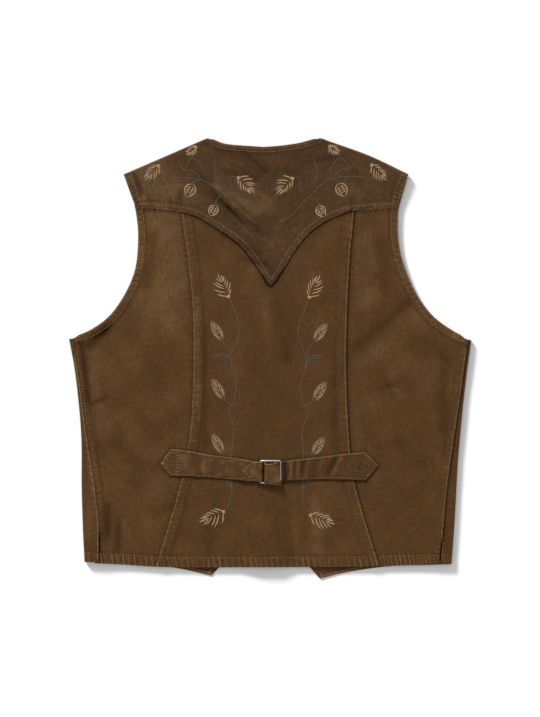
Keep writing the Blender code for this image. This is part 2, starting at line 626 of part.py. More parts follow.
def strap_base(x, upper, lower):
    """Height of what the strap lies on: level by the buckle, and the highest cloth under it elsewhere."""
    def highest(at):
        lines = [upper + (lower - upper) * k / STRAP_LINES for k in range(STRAP_LINES + 1)]
        return max(cloth_top(at + along, y) for y in lines for along in STRAP_FEEL)

    level = max(highest(at) for at in np.arange(-BUCKLE_FEEL, BUCKLE_FEEL + 1, BUCKLE_STEP))
    share = ease(abs(x), BUCKLE_LEVEL, BUCKLE_FADE)
    return STRAP_CLEAR + max(highest(x), share * level + (1 - share) * highest(x))


def strap(name, material, table, path):
    """A strap along a path of (x, height above what it lies on), as wide as its table says."""
    xs, uppers, lowers = np.array(sorted(table)).T
    middles = []
    for x, rise in path:
        upper, lower = (float(np.interp(x, xs, edge)) for edge in (uppers, lowers))
        middles.append((x, strap_base(x, upper, lower) + rise, upper, lower))
    outside, inside = [], []
    for k, (x, z, upper, lower) in enumerate(middles):
        before, after = middles[max(k - 1, 0)], middles[min(k + 1, len(middles) - 1)]
        dx, dz = after[0] - before[0], after[1] - before[1]
        size = math.hypot(dx, dz)
        nx, nz = -dz / size * STRAP / 2, dx / size * STRAP / 2
        ys = [upper + (lower - upper) * j / STRAP_LINES for j in range(STRAP_LINES + 1)]
        outside.append([(x + nx, y, z + nz) for y in ys])
        inside.append([(x - nx, y, z - nz) for y in ys])
    return wall(name, material, [(outside, inside)])


def around_bar(bar_x, end):
    """Path points around a bar, from above it, by +X or -X as end gives in degrees, to below it."""
    angles = [math.radians(90 + (end - 90) * k / BAR_STEPS) for k in range(BAR_STEPS + 1)]
    return [(bar_x + WRAP * math.cos(a), BUCKLE_RISE + WRAP * math.sin(a)) for a in angles]


def strap_left(material):
    """From its sewn point to the buckle's left bar, round it, and back under itself."""
    flat = STRAP / 2
    doubled = flat + STRAP + LAYER_GAP
    turn = BUCKLE_LEFT - STRAP_RETURN
    path = [(x, flat) for x in LEFT_STOPS]
    path += [(turn - 12.0, flat), (turn - 7.0, flat + 0.5), (turn - 2.0, doubled), (turn + 6.0, doubled)]
    path += [(BUCKLE_LEFT - 8.0, doubled + 0.3), (BUCKLE_LEFT - 4.0, doubled + 1.5)]
    path += around_bar(BUCKLE_LEFT, -90)
    path += [(BUCKLE_LEFT - 8.0, flat), (BUCKLE_LEFT - 16.0, flat), (turn, flat)]
    return strap("strap_left", material, STRAP_LEFT, path)


def strap_right(material):
    """From its sewn point under the buckle's right bar, over the middle bar, and tucked behind."""
    flat = STRAP / 2
    crown = BUCKLE_RISE + WRAP
    turn = BUCKLE_BAR - STRAP_TURN
    path = [(x, flat) for x in RIGHT_STOPS]
    path += [(12.6, flat + 0.1), (10.0, flat + 1.1), (6.6, flat + 2.9), (4.0, crown - 0.3)]
    path += [(BUCKLE_BAR, crown), (turn + 3.0, crown)] + around_bar(turn, 270)
    path += [(turn + STRAP_TAIL / 2, flat), (turn + STRAP_TAIL, flat)]
    return strap("strap_right", material, STRAP_RIGHT, path)


def buckle(material):
    """A frame of round wire with rounded corners, and a middle bar joined into it."""
    base = strap_base(0.0, BUCKLE_UPPER, BUCKLE_LOWER) + BUCKLE_RISE
    centers = [(BUCKLE_RIGHT, BUCKLE_UPPER, -1, -1, 0), (BUCKLE_LEFT, BUCKLE_UPPER, 1, -1, 90),
               (BUCKLE_LEFT, BUCKLE_LOWER, 1, 1, 180), (BUCKLE_RIGHT, BUCKLE_LOWER, -1, 1, 270)]
    loop = []
    for x, y, in_x, in_y, start in centers:
        for k in range(CORNER_STEPS + 1):
            a = math.radians(start + 90 * k / CORNER_STEPS)
            loop.append((x + in_x * BUCKLE_CORNER + BUCKLE_CORNER * math.cos(a),
                         y + in_y * BUCKLE_CORNER + BUCKLE_CORNER * math.sin(a), base))
    frame = wire("buckle", loop, True, material)
    ends = [(BUCKLE_BAR, y, base) for y in (BUCKLE_UPPER, BUCKLE_LOWER)]
    bar = wire("buckle_bar", ends, False, material)
    bar.hide_render = True
    bar.display_type = "WIRE"
    join = frame.modifiers.new("middle_bar", "BOOLEAN")
    join.operation = "UNION"
    join.solver = "EXACT"
    join.object = bar
    return frame


def wire(name, points, closed, material):
    """A round wire along these points, as a mesh."""
    curve = bpy.data.curves.new(name + "_line", "CURVE")
    curve.dimensions = "3D"
    curve.bevel_depth = BUCKLE_WIRE * MM
    curve.bevel_resolution = 3
    curve.use_fill_caps = not closed
    spline = curve.splines.new("POLY")
    spline.points.add(len(points) - 1)
    for target, p in zip(spline.points, points):
        target.co = (*[v * MM for v in p], 1.0)
    spline.use_cyclic_u = closed
    guide = bpy.data.objects.new(name + "_line", curve)
    bpy.context.scene.collection.objects.link(guide)
    graph = bpy.context.evaluated_depsgraph_get()
    mesh = bpy.data.meshes.new_from_object(guide.evaluated_get(graph))
    bpy.data.objects.remove(guide)
    shape = bmesh.new()
    shape.from_mesh(mesh)
    bmesh.ops.remove_doubles(shape, verts=shape.verts, dist=0.001 * MM)
    bmesh.ops.recalc_face_normals(shape, faces=shape.faces)
    shape.to_mesh(mesh)
    shape.free()
    mesh.materials.clear()
    return add(name, mesh, material)


def surface(name, colour, roughness, metallic=0.0):
    """A plain material."""
    made = bpy.data.materials.new(name)
    made.use_nodes = True
    shader = made.node_tree.nodes["Principled BSDF"]
    shader.inputs["Base Color"].default_value = (*colour, 1.0)
    shader.inputs["Roughness"].default_value = roughness
    shader.inputs["Metallic"].default_value = metallic
    return made


def main():
    for old in list(bpy.data.objects):
        bpy.data.objects.remove(old)
    canvas = surface("brown_canvas", (0.100, 0.050, 0.020), 0.95)
    yoke_cloth = surface("yoke_canvas", (0.078, 0.042, 0.022), 0.95)
    steel = surface("buckle_steel", (0.45, 0.46, 0.47), 0.35, 1.0)
    horn = surface("button_horn", (0.055, 0.030, 0.015), 0.45)

    back_center(canvas)
    back_side("back_side_left", canvas, PANEL_LEFT, ARMHOLE_LEFT, SIDE_SEAM_LEFT, -1)
    back_side("back_side_right", canvas, PANEL_RIGHT, ARMHOLE_RIGHT, SIDE_SEAM_RIGHT, 1)
    back_yoke(yoke_cloth)
    front("front_left", canvas, -1, FRONT_ARMHOLE_LEFT, FRONT_NECK_LEFT, SIDE_LEFT, SIDE_SEAM_LEFT,
          FRONT_HEM_LEFT, closure_lift)
    front("front_right", canvas, 1, FRONT_ARMHOLE_RIGHT, FRONT_NECK_RIGHT, SIDE_RIGHT, SIDE_SEAM_RIGHT,
          FRONT_HEM_RIGHT, lambda x, y: closure_lift(x, y) + upper_front_lift(x))
    for k in range(BUTTONS):
        button(f"button_{k + 1}", horn, CLOSURE_X, BUTTON_TOP - k * BUTTON_PITCH)
    strap_left(canvas)
    strap_right(canvas)
    buckle(steel)


main()
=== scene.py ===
"""The looks of the western vest, laid face down: cloth, seams, stitching, embroidery, strap and buckle.

Everything is in millimetres until a mesh is made. The neck is towards +Y, and the back faces up.
"""

import json
import math

import bpy
import numpy as np
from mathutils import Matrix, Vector

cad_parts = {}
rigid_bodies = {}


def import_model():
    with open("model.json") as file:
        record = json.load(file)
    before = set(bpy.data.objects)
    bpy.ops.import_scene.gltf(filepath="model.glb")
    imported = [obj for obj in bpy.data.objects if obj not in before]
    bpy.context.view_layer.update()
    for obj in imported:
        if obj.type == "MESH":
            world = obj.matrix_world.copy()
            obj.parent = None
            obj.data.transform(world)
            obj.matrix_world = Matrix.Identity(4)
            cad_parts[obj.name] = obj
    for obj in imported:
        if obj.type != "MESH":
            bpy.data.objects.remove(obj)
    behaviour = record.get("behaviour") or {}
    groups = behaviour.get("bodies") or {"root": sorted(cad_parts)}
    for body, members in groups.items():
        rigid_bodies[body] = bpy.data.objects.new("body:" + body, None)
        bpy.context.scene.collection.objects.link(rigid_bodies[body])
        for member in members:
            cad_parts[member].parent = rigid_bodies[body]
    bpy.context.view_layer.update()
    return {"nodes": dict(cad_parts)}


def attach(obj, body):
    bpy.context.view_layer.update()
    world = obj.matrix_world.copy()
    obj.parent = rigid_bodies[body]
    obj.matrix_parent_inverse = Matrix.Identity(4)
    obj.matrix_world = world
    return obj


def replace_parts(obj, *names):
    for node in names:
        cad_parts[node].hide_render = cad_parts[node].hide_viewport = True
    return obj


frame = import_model()

MM = 0.001
BODY = "root"

# The cloth and how it lies, as in the part
CLOTH = 1.2  # right side of the back, above its underside
WALL = 0.9  # thickness of one layer of canvas
LAYER_GAP = 0.3
FOLD = 2.8  # radius of the folds at the shoulders and the sides, seen from above
REST = 3.0  # height of the back's underside away from all edges
SIDE_LIFT, SIDE_REACH = 1.4, 60.0
SIDE_FADE = (10, 60)  # the sides stop being raised between these heights in the plan
UNDERARM = 24.0  # the sides reach up to here
SHOULDER_REACH, SHOULDER_FADE = 45.0, 30
NECK_SINK = 1.6
NECK_HOLLOW = (-8, 205, 75, 100)  # centre and half sizes
NECK_MARGIN, NECK_SLOPE = 6.0, 30.0
CLOSURE_X, OVERLAP = -6.0, 12.0  # the buttoned edges' middle, and how far each front runs past it
CLOSURE_TOP, CLOSURE_FOOT = 80.0, -203.0
CLOSURE_LIFT = 3.3
CLOSURE_ACROSS, CLOSURE_ABOVE, CLOSURE_BELOW = (16, 62), (95, 150), (225, 285)
CLOSURE_FADE = 60
BUTTON_THICK, BUTTON_ROOM = 2.2, 45.0  # and how far from the middle the cloth has come down
ALWAYS = 1000.0
VENT_LEFT, VENT_RIGHT = -237.0, -248.0  # below these the side seams are open
VENT_SPAN = (-3, 2)  # from closed to open, round those heights
VENT_LEFT_END = (261, 265)  # the left one closes again here, below the middle
SLIT = 1.7
UNDER_SEAM = 2.2
TUCK = 5.0  # how far a panel runs on under the one that laps it
PITCH = 2.5  # of the mesh from row to row, and of all cloth that lies face down
FINE_PITCH = 1.3  # of the mesh along the rows of the back's cloth

# Outline and seams: each row is (x, y)
ARMHOLE_LEFT = [
    (-199.5, 250), (-186.6, 215), (-180.5, 182), (-180, 150), (-184.6, 117), (-199, 84.5), (-219, 57),
    (-243, 39), (-273.7, 26.2),
]
ARMHOLE_RIGHT = [
    (188.4, 250), (176.8, 217), (173.6, 186), (176, 150), (185.4, 117), (200.7, 84.5), (221.5, 57.5),
    (246, 39), (273.7, 24.6),
]
SIDE_LEFT = [
    (-273.7, 26.2), (-266.8, -11), (-260.7, -60), (-257, -110), (-256.6, -175), (-254.6, -240),
    (-252.6, -277.5),
]
SIDE_RIGHT = [
    (273.7, 24.6), (266.7, -27), (261.3, -76), (255.4, -141), (251.8, -207), (248.6, -255), (246.6, -280.5),
]
SHOULDER_LEFT = [(-199.5, 250), (-141.7, 275), (-83.9, 300.5)]
SHOULDER_RIGHT = [(188.4, 250), (135, 275.5), (65.7, 300.5)]
# Where each shoulder's fold ends at the neck
SHOULDER_ENDS = [
    [(-96, 294.9), (-88.4, 298.1), (-83.6, 299.3)],
    [(79, 295.6), (70.8, 298.8), (66, 299.3)],
]
NECK_LOW = (-9.0, 287.3)
NECK_LEFT = [
    (-82.8, 297.9), (-77.8, 297.5), (-72, 295.3), (-66, 292.8), (-54.7, 290.6), (-41, 289.5), NECK_LOW,
]
NECK_RIGHT = [NECK_LOW, (14, 289), (40.5, 293), (51, 295.8), (59, 297.9), (64.6, 297.9)]
HEM = [
    (-234, -279.2), (-198, -281), (-150, -284), (0, -284.4), (120, -283.8), (163, -282.7), (231.5, -280.9),
]
YOKE_TIP = (0.5, 98.0)
YOKE_LEFT = [
    (-182.8, 203.8), (-137.6, 201), (-119.4, 198), (-98.6, 192), (-76.8, 179), (-56.4, 166), (-37.7, 150.5),
    (-14.3, 119.5), YOKE_TIP,
]
YOKE_RIGHT = [
    YOKE_TIP, (21.6, 127.3), (34.1, 147.4), (52.8, 170), (76.3, 186.5), (108.5, 199), (131.5, 201),
    (174.9, 204.2),
]
PANEL_LEFT = [
    (-121.2, 198.5), (-112, 133), (-105.5, 69), (-104.5, -10), (-108.3, -94), (-120.1, -161.5),
    (-155.6, -284.5),
]
PANEL_RIGHT = [
    (114.3, 200.5), (108.5, 137), (104.6, 60), (103.5, -12), (107, -103), (114.1, -166), (148.1, -284.5),
]
SIDE_SEAM_LEFT = [
    (-269.4, 25), (-264.4, 0), (-259.6, -28.6), (-250.1, -101.5), (-237.6, -184), (-233.6, -225),
    (-233.5, -279.3),
]
SIDE_SEAM_RIGHT = [
    (269.4, 23.4), (265.2, -4), (260.4, -40.5), (250.6, -106), (240.9, -174), (235, -238), (231.2, -280.9),
]
FRONT_ARMHOLE_LEFT = [
    (-174.5, 206.5), (-170.5, 165), (-173, 128), (-187, 92), (-209, 58), (-237, 36), (-270.9, 25),
]
FRONT_ARMHOLE_RIGHT = [(164.5, 206), (163, 165), (167, 128), (180, 92), (203, 58), (233, 35), (270.9, 23.4)]
FRONT_NECK_LEFT = [(-66.5, 257.5), (-47, 200), (-20, 135), (6, CLOSURE_TOP)]
FRONT_NECK_RIGHT = [(49, 257.5), (31, 200), (7, 135), (-18, CLOSURE_TOP)]
POINT_LEFT = (-80.0, -296.0)
POINT_RIGHT = (68.0, -300.5)
FRONT_HEM_LEFT = [(-249.8, -277.5), (-198, -280), (-150, -282.7), (-118, -287.5), POINT_LEFT]
FRONT_HEM_RIGHT = [(243.8, -280.5), (190, -281.5), (150, -284.5), (92, -293.8), POINT_RIGHT]

# Folds and creases: a ridge, or a trough where the height is negative
#        x0      y0      x1      y1    half_width  height
FOLDS = [
    (-86, 236, -6, 172, 10, -1.5), (-62, 250, 4, 196, 12, 1.2), (-66, 278, -8, 257, 8, -1.1),
    (44, 272, 80, 274, 7, -1.1), (-20, 152, 6, 118, 12, -0.9), (-254, 22, -220, 38, 7, -1.3),
    (-256, 14, -246, -84, 7, -1.3), (112, 4, 184, 70, 11, -1.3), (128, -14, 200, 50, 12, 0.9),
    (-92, 60, -92, -118, 9, -0.9), (86, -40, 86, -120, 10, -0.9), (26, 96, 24, 0, 11, -0.9),
    (-220, -212, -222, -244, 9, -1.1), (-154, -212, -120, -196, 9, -1),
]
CREASES = [
    (-240, -62, -222, -54, 3.5, -0.5), (-84, 222, -18, 176, 5, -1.2), (-74, 236, -16, 198, 6, 0.7),
    (-60, 252, -14, 244, 5, -0.8), (-30, 256, 24, 250, 6, -0.6), (-64, 166, -16, 142, 5, -0.9),
    (-42, 134, -6, 128, 4, -0.6), (-24, 122, 12, 112, 3.5, 0.5), (-58, 206, -36, 182, 1.8, -0.5),
    (-54, 209, -32, 186, 1.8, 0.4), (-50, 264, -20, 242, 1.9, -0.5), (-46, 268, -16, 246, 1.9, 0.3),
    (-30, 232, 0, 214, 2, 0.35), (-6, 252, 22, 236, 2, -0.4), (8, 222, 34, 236, 2, -0.4),
    (-100, 252, -84, 232, 2, -0.45), (18, 178, 38, 196, 2, -0.4), (-24, 204, -4, 190, 1.8, -0.35),
    (60, 246, 84, 262, 2.2, -0.35), (-70, 262, -52, 240, 2, -0.35), (-14, 176, 8, 160, 2, -0.35),
    (-36, 176, -20, 160, 2, 0.3), (-196, 236, -184, 206, 3.5, -1), (-188, 244, -172, 208, 4, 0.7),
    (-176, 236, -163, 209, 4, -0.7), (-128, 216, -126, 204, 3, -0.7), (-108, 262, -90, 240, 5, -0.5),
    (100, 268, 124, 236, 6, -0.5), (150, -44, 176, -34, 4, -0.7), (158, -30, 168, -54, 3.5, -0.6),
    (164, -40, 184, -52, 3, 0.3), (-8, 90, -6, 30, 7, 0.15), (8, 84, 11, 24, 6, -0.5),
    (22, 70, 20, 34, 5, 0.5), (-207, -222, -208, -262, 5, -0.9), (-224, -206, -224, -244, 5, -0.7),
    (-70, -190, -84, -262, 9, -0.7), (20, -190, 26, -268, 8, -0.8), (60, -196, 66, -262, 9, 0.6),
    (150, 150, 158, 96, 9, -0.8), (-160, 160, -166, 100, 9, -0.8), (-196, 70, -226, 30, 6, -0.6),
    (214, 22, 240, -6, 7, -0.9), (236, -20, 232, -98, 6, -0.9), (-206, -120, -176, -150, 9, -0.6),
    (176, -120, 206, -146, 9, -0.6),
]

# Painted shade in folds, creases and beside the seams (below 0), and painted light on ridges and towards the
# upper left, partly a paler tone (above 0)
#        x0      y0      x1      y1    half_width  amount
PAINTED_SHADING = [
    (-224, 39, -246, 18, 5.5, -1.7), (-256, 16, -248, -58, 4, -1.2), (-242, 8, -238, -58, 9, 0.25),
    (-243, -63, -224, -54, 3, -0.6), (-80, 229, -58, 206, 2.2, -0.9), (-58, 206, -36, 182, 1.8, -1),
    (-74, 234, -48, 208, 3, 0.5), (-48, 208, -26, 188, 3, 0.35), (-37, 281, -8, 256, 3, -0.8),
    (-184, 248, -178, 225, 3, -0.9), (-173, 238, -170, 219, 3, 0.6), (-123, 225, -120, 204, 3, -0.8),
    (-136, 216, -135, 206, 2.5, -0.8), (-152, 232, -136, 224, 22, 0.65), (-190, 250, -160, 262, 16, 0.4),
    (-17, 172, -2, 165, 4, -0.4), (-60, 196, -44, 178, 5, -0.3), (-20, 132, -4, 126, 5, -0.7),
    (0, 117, 12, 114, 4, -0.6), (47, 266, 86, 272, 4, -0.9), (96, 250, 120, 214, 12, 0.15),
    (140, 206, 172, 210, 6, 0.5), (110, 216, 112, 206, 3.5, -0.7), (40, 250, 60, 180, 16, -0.15),
    (-220, -200, -219, -242, 3, -0.9), (-206, -227, -205, -255, 3, -0.8), (-231, -246, -231, -264, 3, -0.8),
    (-153, -213, -138, -204, 5, -0.5), (-114, -200, -122, -236, 5, -0.5), (6, -194, 12, -258, 6, -0.5),
    (26, -194, 32, -258, 9, 0.3), (16, 70, 22, 0, 7, -0.55), (-6, 60, -4, 0, 8, 0.08),
    (-152, 170, -152, 70, 34, 0.5), (-98, 80, -98, -84, 3.6, 0.5), (136, 170, 136, 90, 22, 0.2),
    (124, 250, 124, 240, 14, 0.3), (182, 150, 196, 90, 22, 0.25), (-88, 40, -88, -124, 3.6, -0.6),
    (86, 20, 87, -124, 4, -0.45), (0, -30, 0, -110, 38, -0.3), (180, -120, 196, -230, 40, -0.2),
    (-244, -120, -244, -240, 6, 0.35), (240, -60, 236, -130, 5, -0.5), (120, 16, 188, 77, 6, -0.6),
    (158, -36, 176, -38, 3, -0.5), (-160, 40, -150, -60, 30, -0.15),
]

# How edges are finished. rows: stitching at these distances from the edge
#             band  rise  rows        pucker period wear
HEM_EDGE = (12.8, 0.35, (13.3,), 0.30, 5.2, 1.1)
ARM_EDGE = (8.6, 0.8, (1.9, 8.8), 0.22, 5.0, 0.9)
NECK_EDGE = (7.0, 0.8, (2.6, 7.0), 0.12, 8.0, 0.9)
YOKE_EDGE = (7.6, 0.9, (1.8, 7.2), 0.19, 4.2, 1.3)
PANEL_EDGE = (11.5, 0.9, (2.0, 8.8), 0.12, 7.0, 1.4)
STRIP_EDGE = (5.0, 0.7, (1.6,), 0.16, 6.0, 1.5)
SEAM_EDGE = (8.0, 0.9, (1.8, 7.0), 0.16, 4.5, 1.1)
BACK_EDGE = (7.0, 0.35, (), 0.15, 6.0, 0.3)
HEM_ROW, STRIP_ROW = HEM_EDGE[2][0], STRIP_EDGE[2][0]
PANEL_ROWS, SEAM_ROWS = PANEL_EDGE[2], SEAM_EDGE[2]
ROW_DEPTH, ROW_HALF = 0.36, 1.0  # how far a row of stitching pulls the cloth in, and over what half width
TICKS = 4.4  # from pucker to pucker along a row
# Painted light and shade of the puckers along each row of stitching
TICK_SHADING = 0.5
EDGE_ROUND = 0.75
RIM_WEAR_HALF = 1.25
RAMP = 3.0
LAPPED = 6.5  # the layer above is clear of the one below over this much
# Painted light on a ridge and painted shade in a trough, for each millimetre of its height
CREASE_SHADING, FOLD_SHADING = 0.75, 0.2  # how much paler a ridge is than the cloth beside it
BLOTCH, BLOTCH_LONG = 0.10, 45
# Painted shade in the groove beside a piece that laps this one
GROOVE_DARK, GROOVE_SHADE = 2.5, 0.5  # right beside a piece that laps this one, and farther off
GROOVE_CLOSED = 0.35  # the share of that above an opening
WAVE, WAVE_LONG = 0.24, 62
RUMPLE, RUMPLE_LONG = 0.07, 17
LAPPED_RISE, THINNEST = 0.95, 0.12

# Threads
STITCH_PITCH, STITCH_LENGTH = 3.1, 2.0
THREAD = 0.95
HEM_STITCH = {"pitch": 3.8, "length": 1.3}
FINE_STITCH = {"pitch": 3.0, "length": 1.5}
FLATNESS = 0.8  # of a thread's section
VINE_PITCH, VINE_THREAD, VINE_LIFT = 2.6, 1.2, 0.22
STROKE_SINK = 0.15  # of a stroke's foot below the cloth's surface


# Curves in the plan

def blend(p, q, t, start, end):
    share = (t - start) / (end - start)
    return p * (1 - share) + q * share


def smooth(points, steps=8):
    """Points along a smooth curve through these points, with every span split into steps."""
    given = np.array(points, float)
    given = np.vstack([2 * given[0] - given[1], given, 2 * given[-1] - given[-2]])
    made = []
    for a, b, c, d in zip(given, given[1:], given[2:], given[3:]):
        knots = np.cumsum([0] + [math.sqrt(math.dist(p, q)) for p, q in ((a, b), (b, c), (c, d))])
        for t in np.linspace(knots[1], knots[2], steps, endpoint=False):
            first = [blend(p, q, t, knots[k], knots[k + 1])
                     for k, (p, q) in enumerate(((a, b), (b, c), (c, d)))]
            second = [blend(first[k], first[k + 1], t, knots[k], knots[k + 2]) for k in (0, 1)]
            made.append(blend(second[0], second[1], t, knots[1], knots[2]))
    return np.vstack([made, given[-2]])


class Line:
    """A smooth line in the plan. Its left side, looking along it, is the positive one."""

    def __init__(self, points, steps=8):
        self.points = smooth(points, steps)
        self.spans = np.linalg.norm(np.diff(self.points, axis=0), axis=1)
        self.run = np.concatenate([[0], np.cumsum(self.spans)])
        self.length = self.run[-1]

    def at(self, distance, aside=0.0):
        """Points at these distances from the start, moved to the left. Past its ends it runs straight on."""
        distance = np.asarray(distance, float)
        k = np.clip(np.searchsorted(self.run, distance, side="right") - 1, 0, len(self.spans) - 1)
        along = (self.points[k + 1] - self.points[k]) / self.spans[k][..., None]
        left = np.stack([-along[..., 1], along[..., 0]], axis=-1)
        past, aside = (distance - self.run[k])[..., None], np.asarray(aside)[..., None]
        return self.points[k] + along * past + left * aside

    def near(self, x, y):
        """Distance from the line, positive on its left, and how far along it the nearest point is."""
        start, step = self.points[:-1], np.diff(self.points, axis=0)
        plan = np.stack([x.ravel(), y.ravel()], axis=1)
        away, run = [], []
        for some in np.array_split(plan, len(plan) // 3000 + 1):
            rest = some[:, None] - start
            share = np.clip((rest * step).sum(2) / self.spans**2, 0, 1)
            rest = rest - share[..., None] * step
            size = np.hypot(rest[..., 0], rest[..., 1])
            k = size.argmin(1)
            i = np.arange(len(some))
            side = step[k, 0] * rest[i, k, 1] - step[k, 1] * rest[i, k, 0]
            away.append(np.where(side < 0, -1, 1) * size[i, k])
            run.append(self.run[k] + share[i, k] * self.spans[k])
        return np.concatenate(away).reshape(x.shape), np.concatenate(run).reshape(x.shape)


def y_at(points):
    """A function that gives y at x on the smooth curve through these points."""
    curve = smooth(points)
    curve = curve if curve[0, 0] < curve[-1, 0] else curve[::-1]
    return lambda x: np.interp(x, curve[:, 0], curve[:, 1])


def x_at(points):
    """A function that gives x at y on the smooth curve through these points, which run downwards."""
    curve = smooth(points)[::-1]
    return lambda y: np.interp(y, curve[:, 1], curve[:, 0])


yoke_y = y_at(YOKE_LEFT[:-1] + YOKE_RIGHT)
hem_y = y_at(HEM)
side_left_x, side_right_x = x_at(SIDE_LEFT), x_at(SIDE_RIGHT)
panel_left_x, panel_right_x = x_at(PANEL_LEFT), x_at(PANEL_RIGHT)
neck_left_x, neck_right_x = x_at(FRONT_NECK_LEFT), x_at(FRONT_NECK_RIGHT)

panel_left, panel_right = Line(PANEL_LEFT), Line(PANEL_RIGHT)
armhole_left, armhole_right = Line(ARMHOLE_LEFT), Line(ARMHOLE_RIGHT)
seam_left, seam_right = Line(SIDE_SEAM_LEFT), Line(SIDE_SEAM_RIGHT)
vent_right = Line([(234.4, VENT_RIGHT), SIDE_SEAM_RIGHT[-1]])
yoke_line = Line(YOKE_LEFT[:-1] + YOKE_RIGHT)
neck_line = Line(NECK_LEFT[:-1] + NECK_RIGHT)
hem_line = Line([(-262.0, -277.6)] + HEM + [(258.0, -280.2)])


# Heights of the cloth

def ease(value, start, end):
    """1 up to start, 0 from end, and a smooth fall between them."""
    return 0.5 + 0.5 * np.cos(np.pi * np.clip((value - start) / (end - start), 0, 1))


def ramp(value, start, end):
    """1 up to start, 0 from end, and straight between them."""
    return np.clip((end - value) / (end - start), 0, 1)


def bell(value, half_width):
    return np.exp(-((value / half_width) ** 2))


def folded(x, y, table):
    """What the folds in a table add to the height."""
    total = np.zeros_like(x)
    for x0, y0, x1, y1, half_width, height in table:
        length = math.dist((x0, y0), (x1, y1))
        along = ((x - x0) * (x1 - x0) + (y - y0) * (y1 - y0)) / length
        across = ((x - x0) * (y1 - y0) - (y - y0) * (x1 - x0)) / length
        past = np.maximum(np.maximum(-along, along - length), 0)
        total += height * bell(across, half_width) * ease(past, 0, 2 * half_width)
    return total


def rumple(x, y, size, seed, waves=14):
    """Soft unevenness between about -1 and 1, with waves about this long."""
    dice = np.random.default_rng(seed)
    total = np.zeros_like(x)
    for _ in range(waves):
        turn, phase = dice.uniform(0, math.tau, 2)
        number = math.tau / (size * dice.uniform(0.7, 1.8))
        total += np.sin(number * (x * math.cos(turn) + y * math.sin(turn)) + phase)
    return total / math.sqrt(waves)


def ripple(run, period, seed):
    """Uneven waves along a line, between about -1 and 1."""
    dice = np.random.default_rng(seed)
    total = np.zeros_like(run)
    for _ in range(5):
        total += np.sin(math.tau * run / (period * dice.uniform(0.65, 1.7)) + dice.uniform(0, math.tau))
    return total / math.sqrt(5)


def closure_lift(x, y):
    """How far the buttons raise the fronts."""
    over = ramp(np.abs(x - CLOSURE_X), OVERLAP, BUTTON_ROOM)
    return (BUTTON_THICK + LAYER_GAP) * over * ramp(y, CLOSURE_TOP, CLOSURE_TOP + CLOSURE_FADE)


def upper_front_lift(x, y):
    """How far the lower front raises the one that lies over it."""
    return (CLOTH + 3 * LAYER_GAP) * ramp(x - CLOSURE_X, OVERLAP + 2, BUTTON_ROOM)


def fronts_top(x, y):
    """Height of the fronts under the back, and 0 inside the neck's opening."""
    past_left = 1 - ramp(x - neck_left_x(y), NECK_MARGIN, NECK_SLOPE)
    past_right = 1 - ramp(neck_right_x(y) - x, NECK_MARGIN, NECK_SLOPE)
    covered = np.where(y > CLOSURE_TOP, 1 - past_left * past_right, 1.0)
    upper = upper_front_lift(x, y) * ramp(CLOSURE_X - OVERLAP - x, NECK_MARGIN, BUTTON_ROOM)
    return covered * (CLOTH + LAYER_GAP + closure_lift(x, y) + upper)


def below_line(x, y, points):
    """How far a point lies from the straight line between a shoulder's two ends."""
    (x0, y0), (x1, y1) = points[0], points[-1]
    return np.abs((x1 - x0) * (y - y0) - (y1 - y0) * (x - x0)) / math.dist((x0, y0), (x1, y1))


def under(x, y):
    """Height of the underside of the back's cloth, as in the part."""
    level = np.minimum(y, UNDERARM)
    edge = np.minimum(x - side_left_x(level), side_right_x(level) - x)
    sides = ease(edge, 0, SIDE_REACH) * ease(y, *SIDE_FADE)
    left_end, right_end = SHOULDER_LEFT[-1][0], SHOULDER_RIGHT[-1][0]
    beside = ease(np.minimum(np.abs(x - left_end), np.abs(x - right_end)), 0, SHOULDER_FADE)
    on_shoulder = np.where((x < left_end) | (x > right_end), 1.0, beside)
    line = np.where(x < NECK_LOW[0], below_line(x, y, SHOULDER_LEFT), below_line(x, y, SHOULDER_RIGHT))
    shoulders = ease(line, FOLD, SHOULDER_REACH) * on_shoulder
    neck_x, neck_y, neck_wide, neck_high = NECK_HOLLOW
    neck = ease(np.hypot((x - neck_x) / neck_wide, (y - neck_y) / neck_high), 0.1, 1.0)
    closure = ease(np.abs(x - CLOSURE_X), *CLOSURE_ACROSS)
    closure = closure * ease(y, *CLOSURE_ABOVE) * ease(-y, *CLOSURE_BELOW)
    folds = folded(x, y, FOLDS) * (1 - closure) * (1 - sides * 0.5) * (1 - shoulders)
    height = REST + SIDE_LIFT * np.maximum(sides, shoulders) - NECK_SINK * neck
    return np.maximum(height + CLOSURE_LIFT * closure + folds, fronts_top(x, y) + LAYER_GAP)


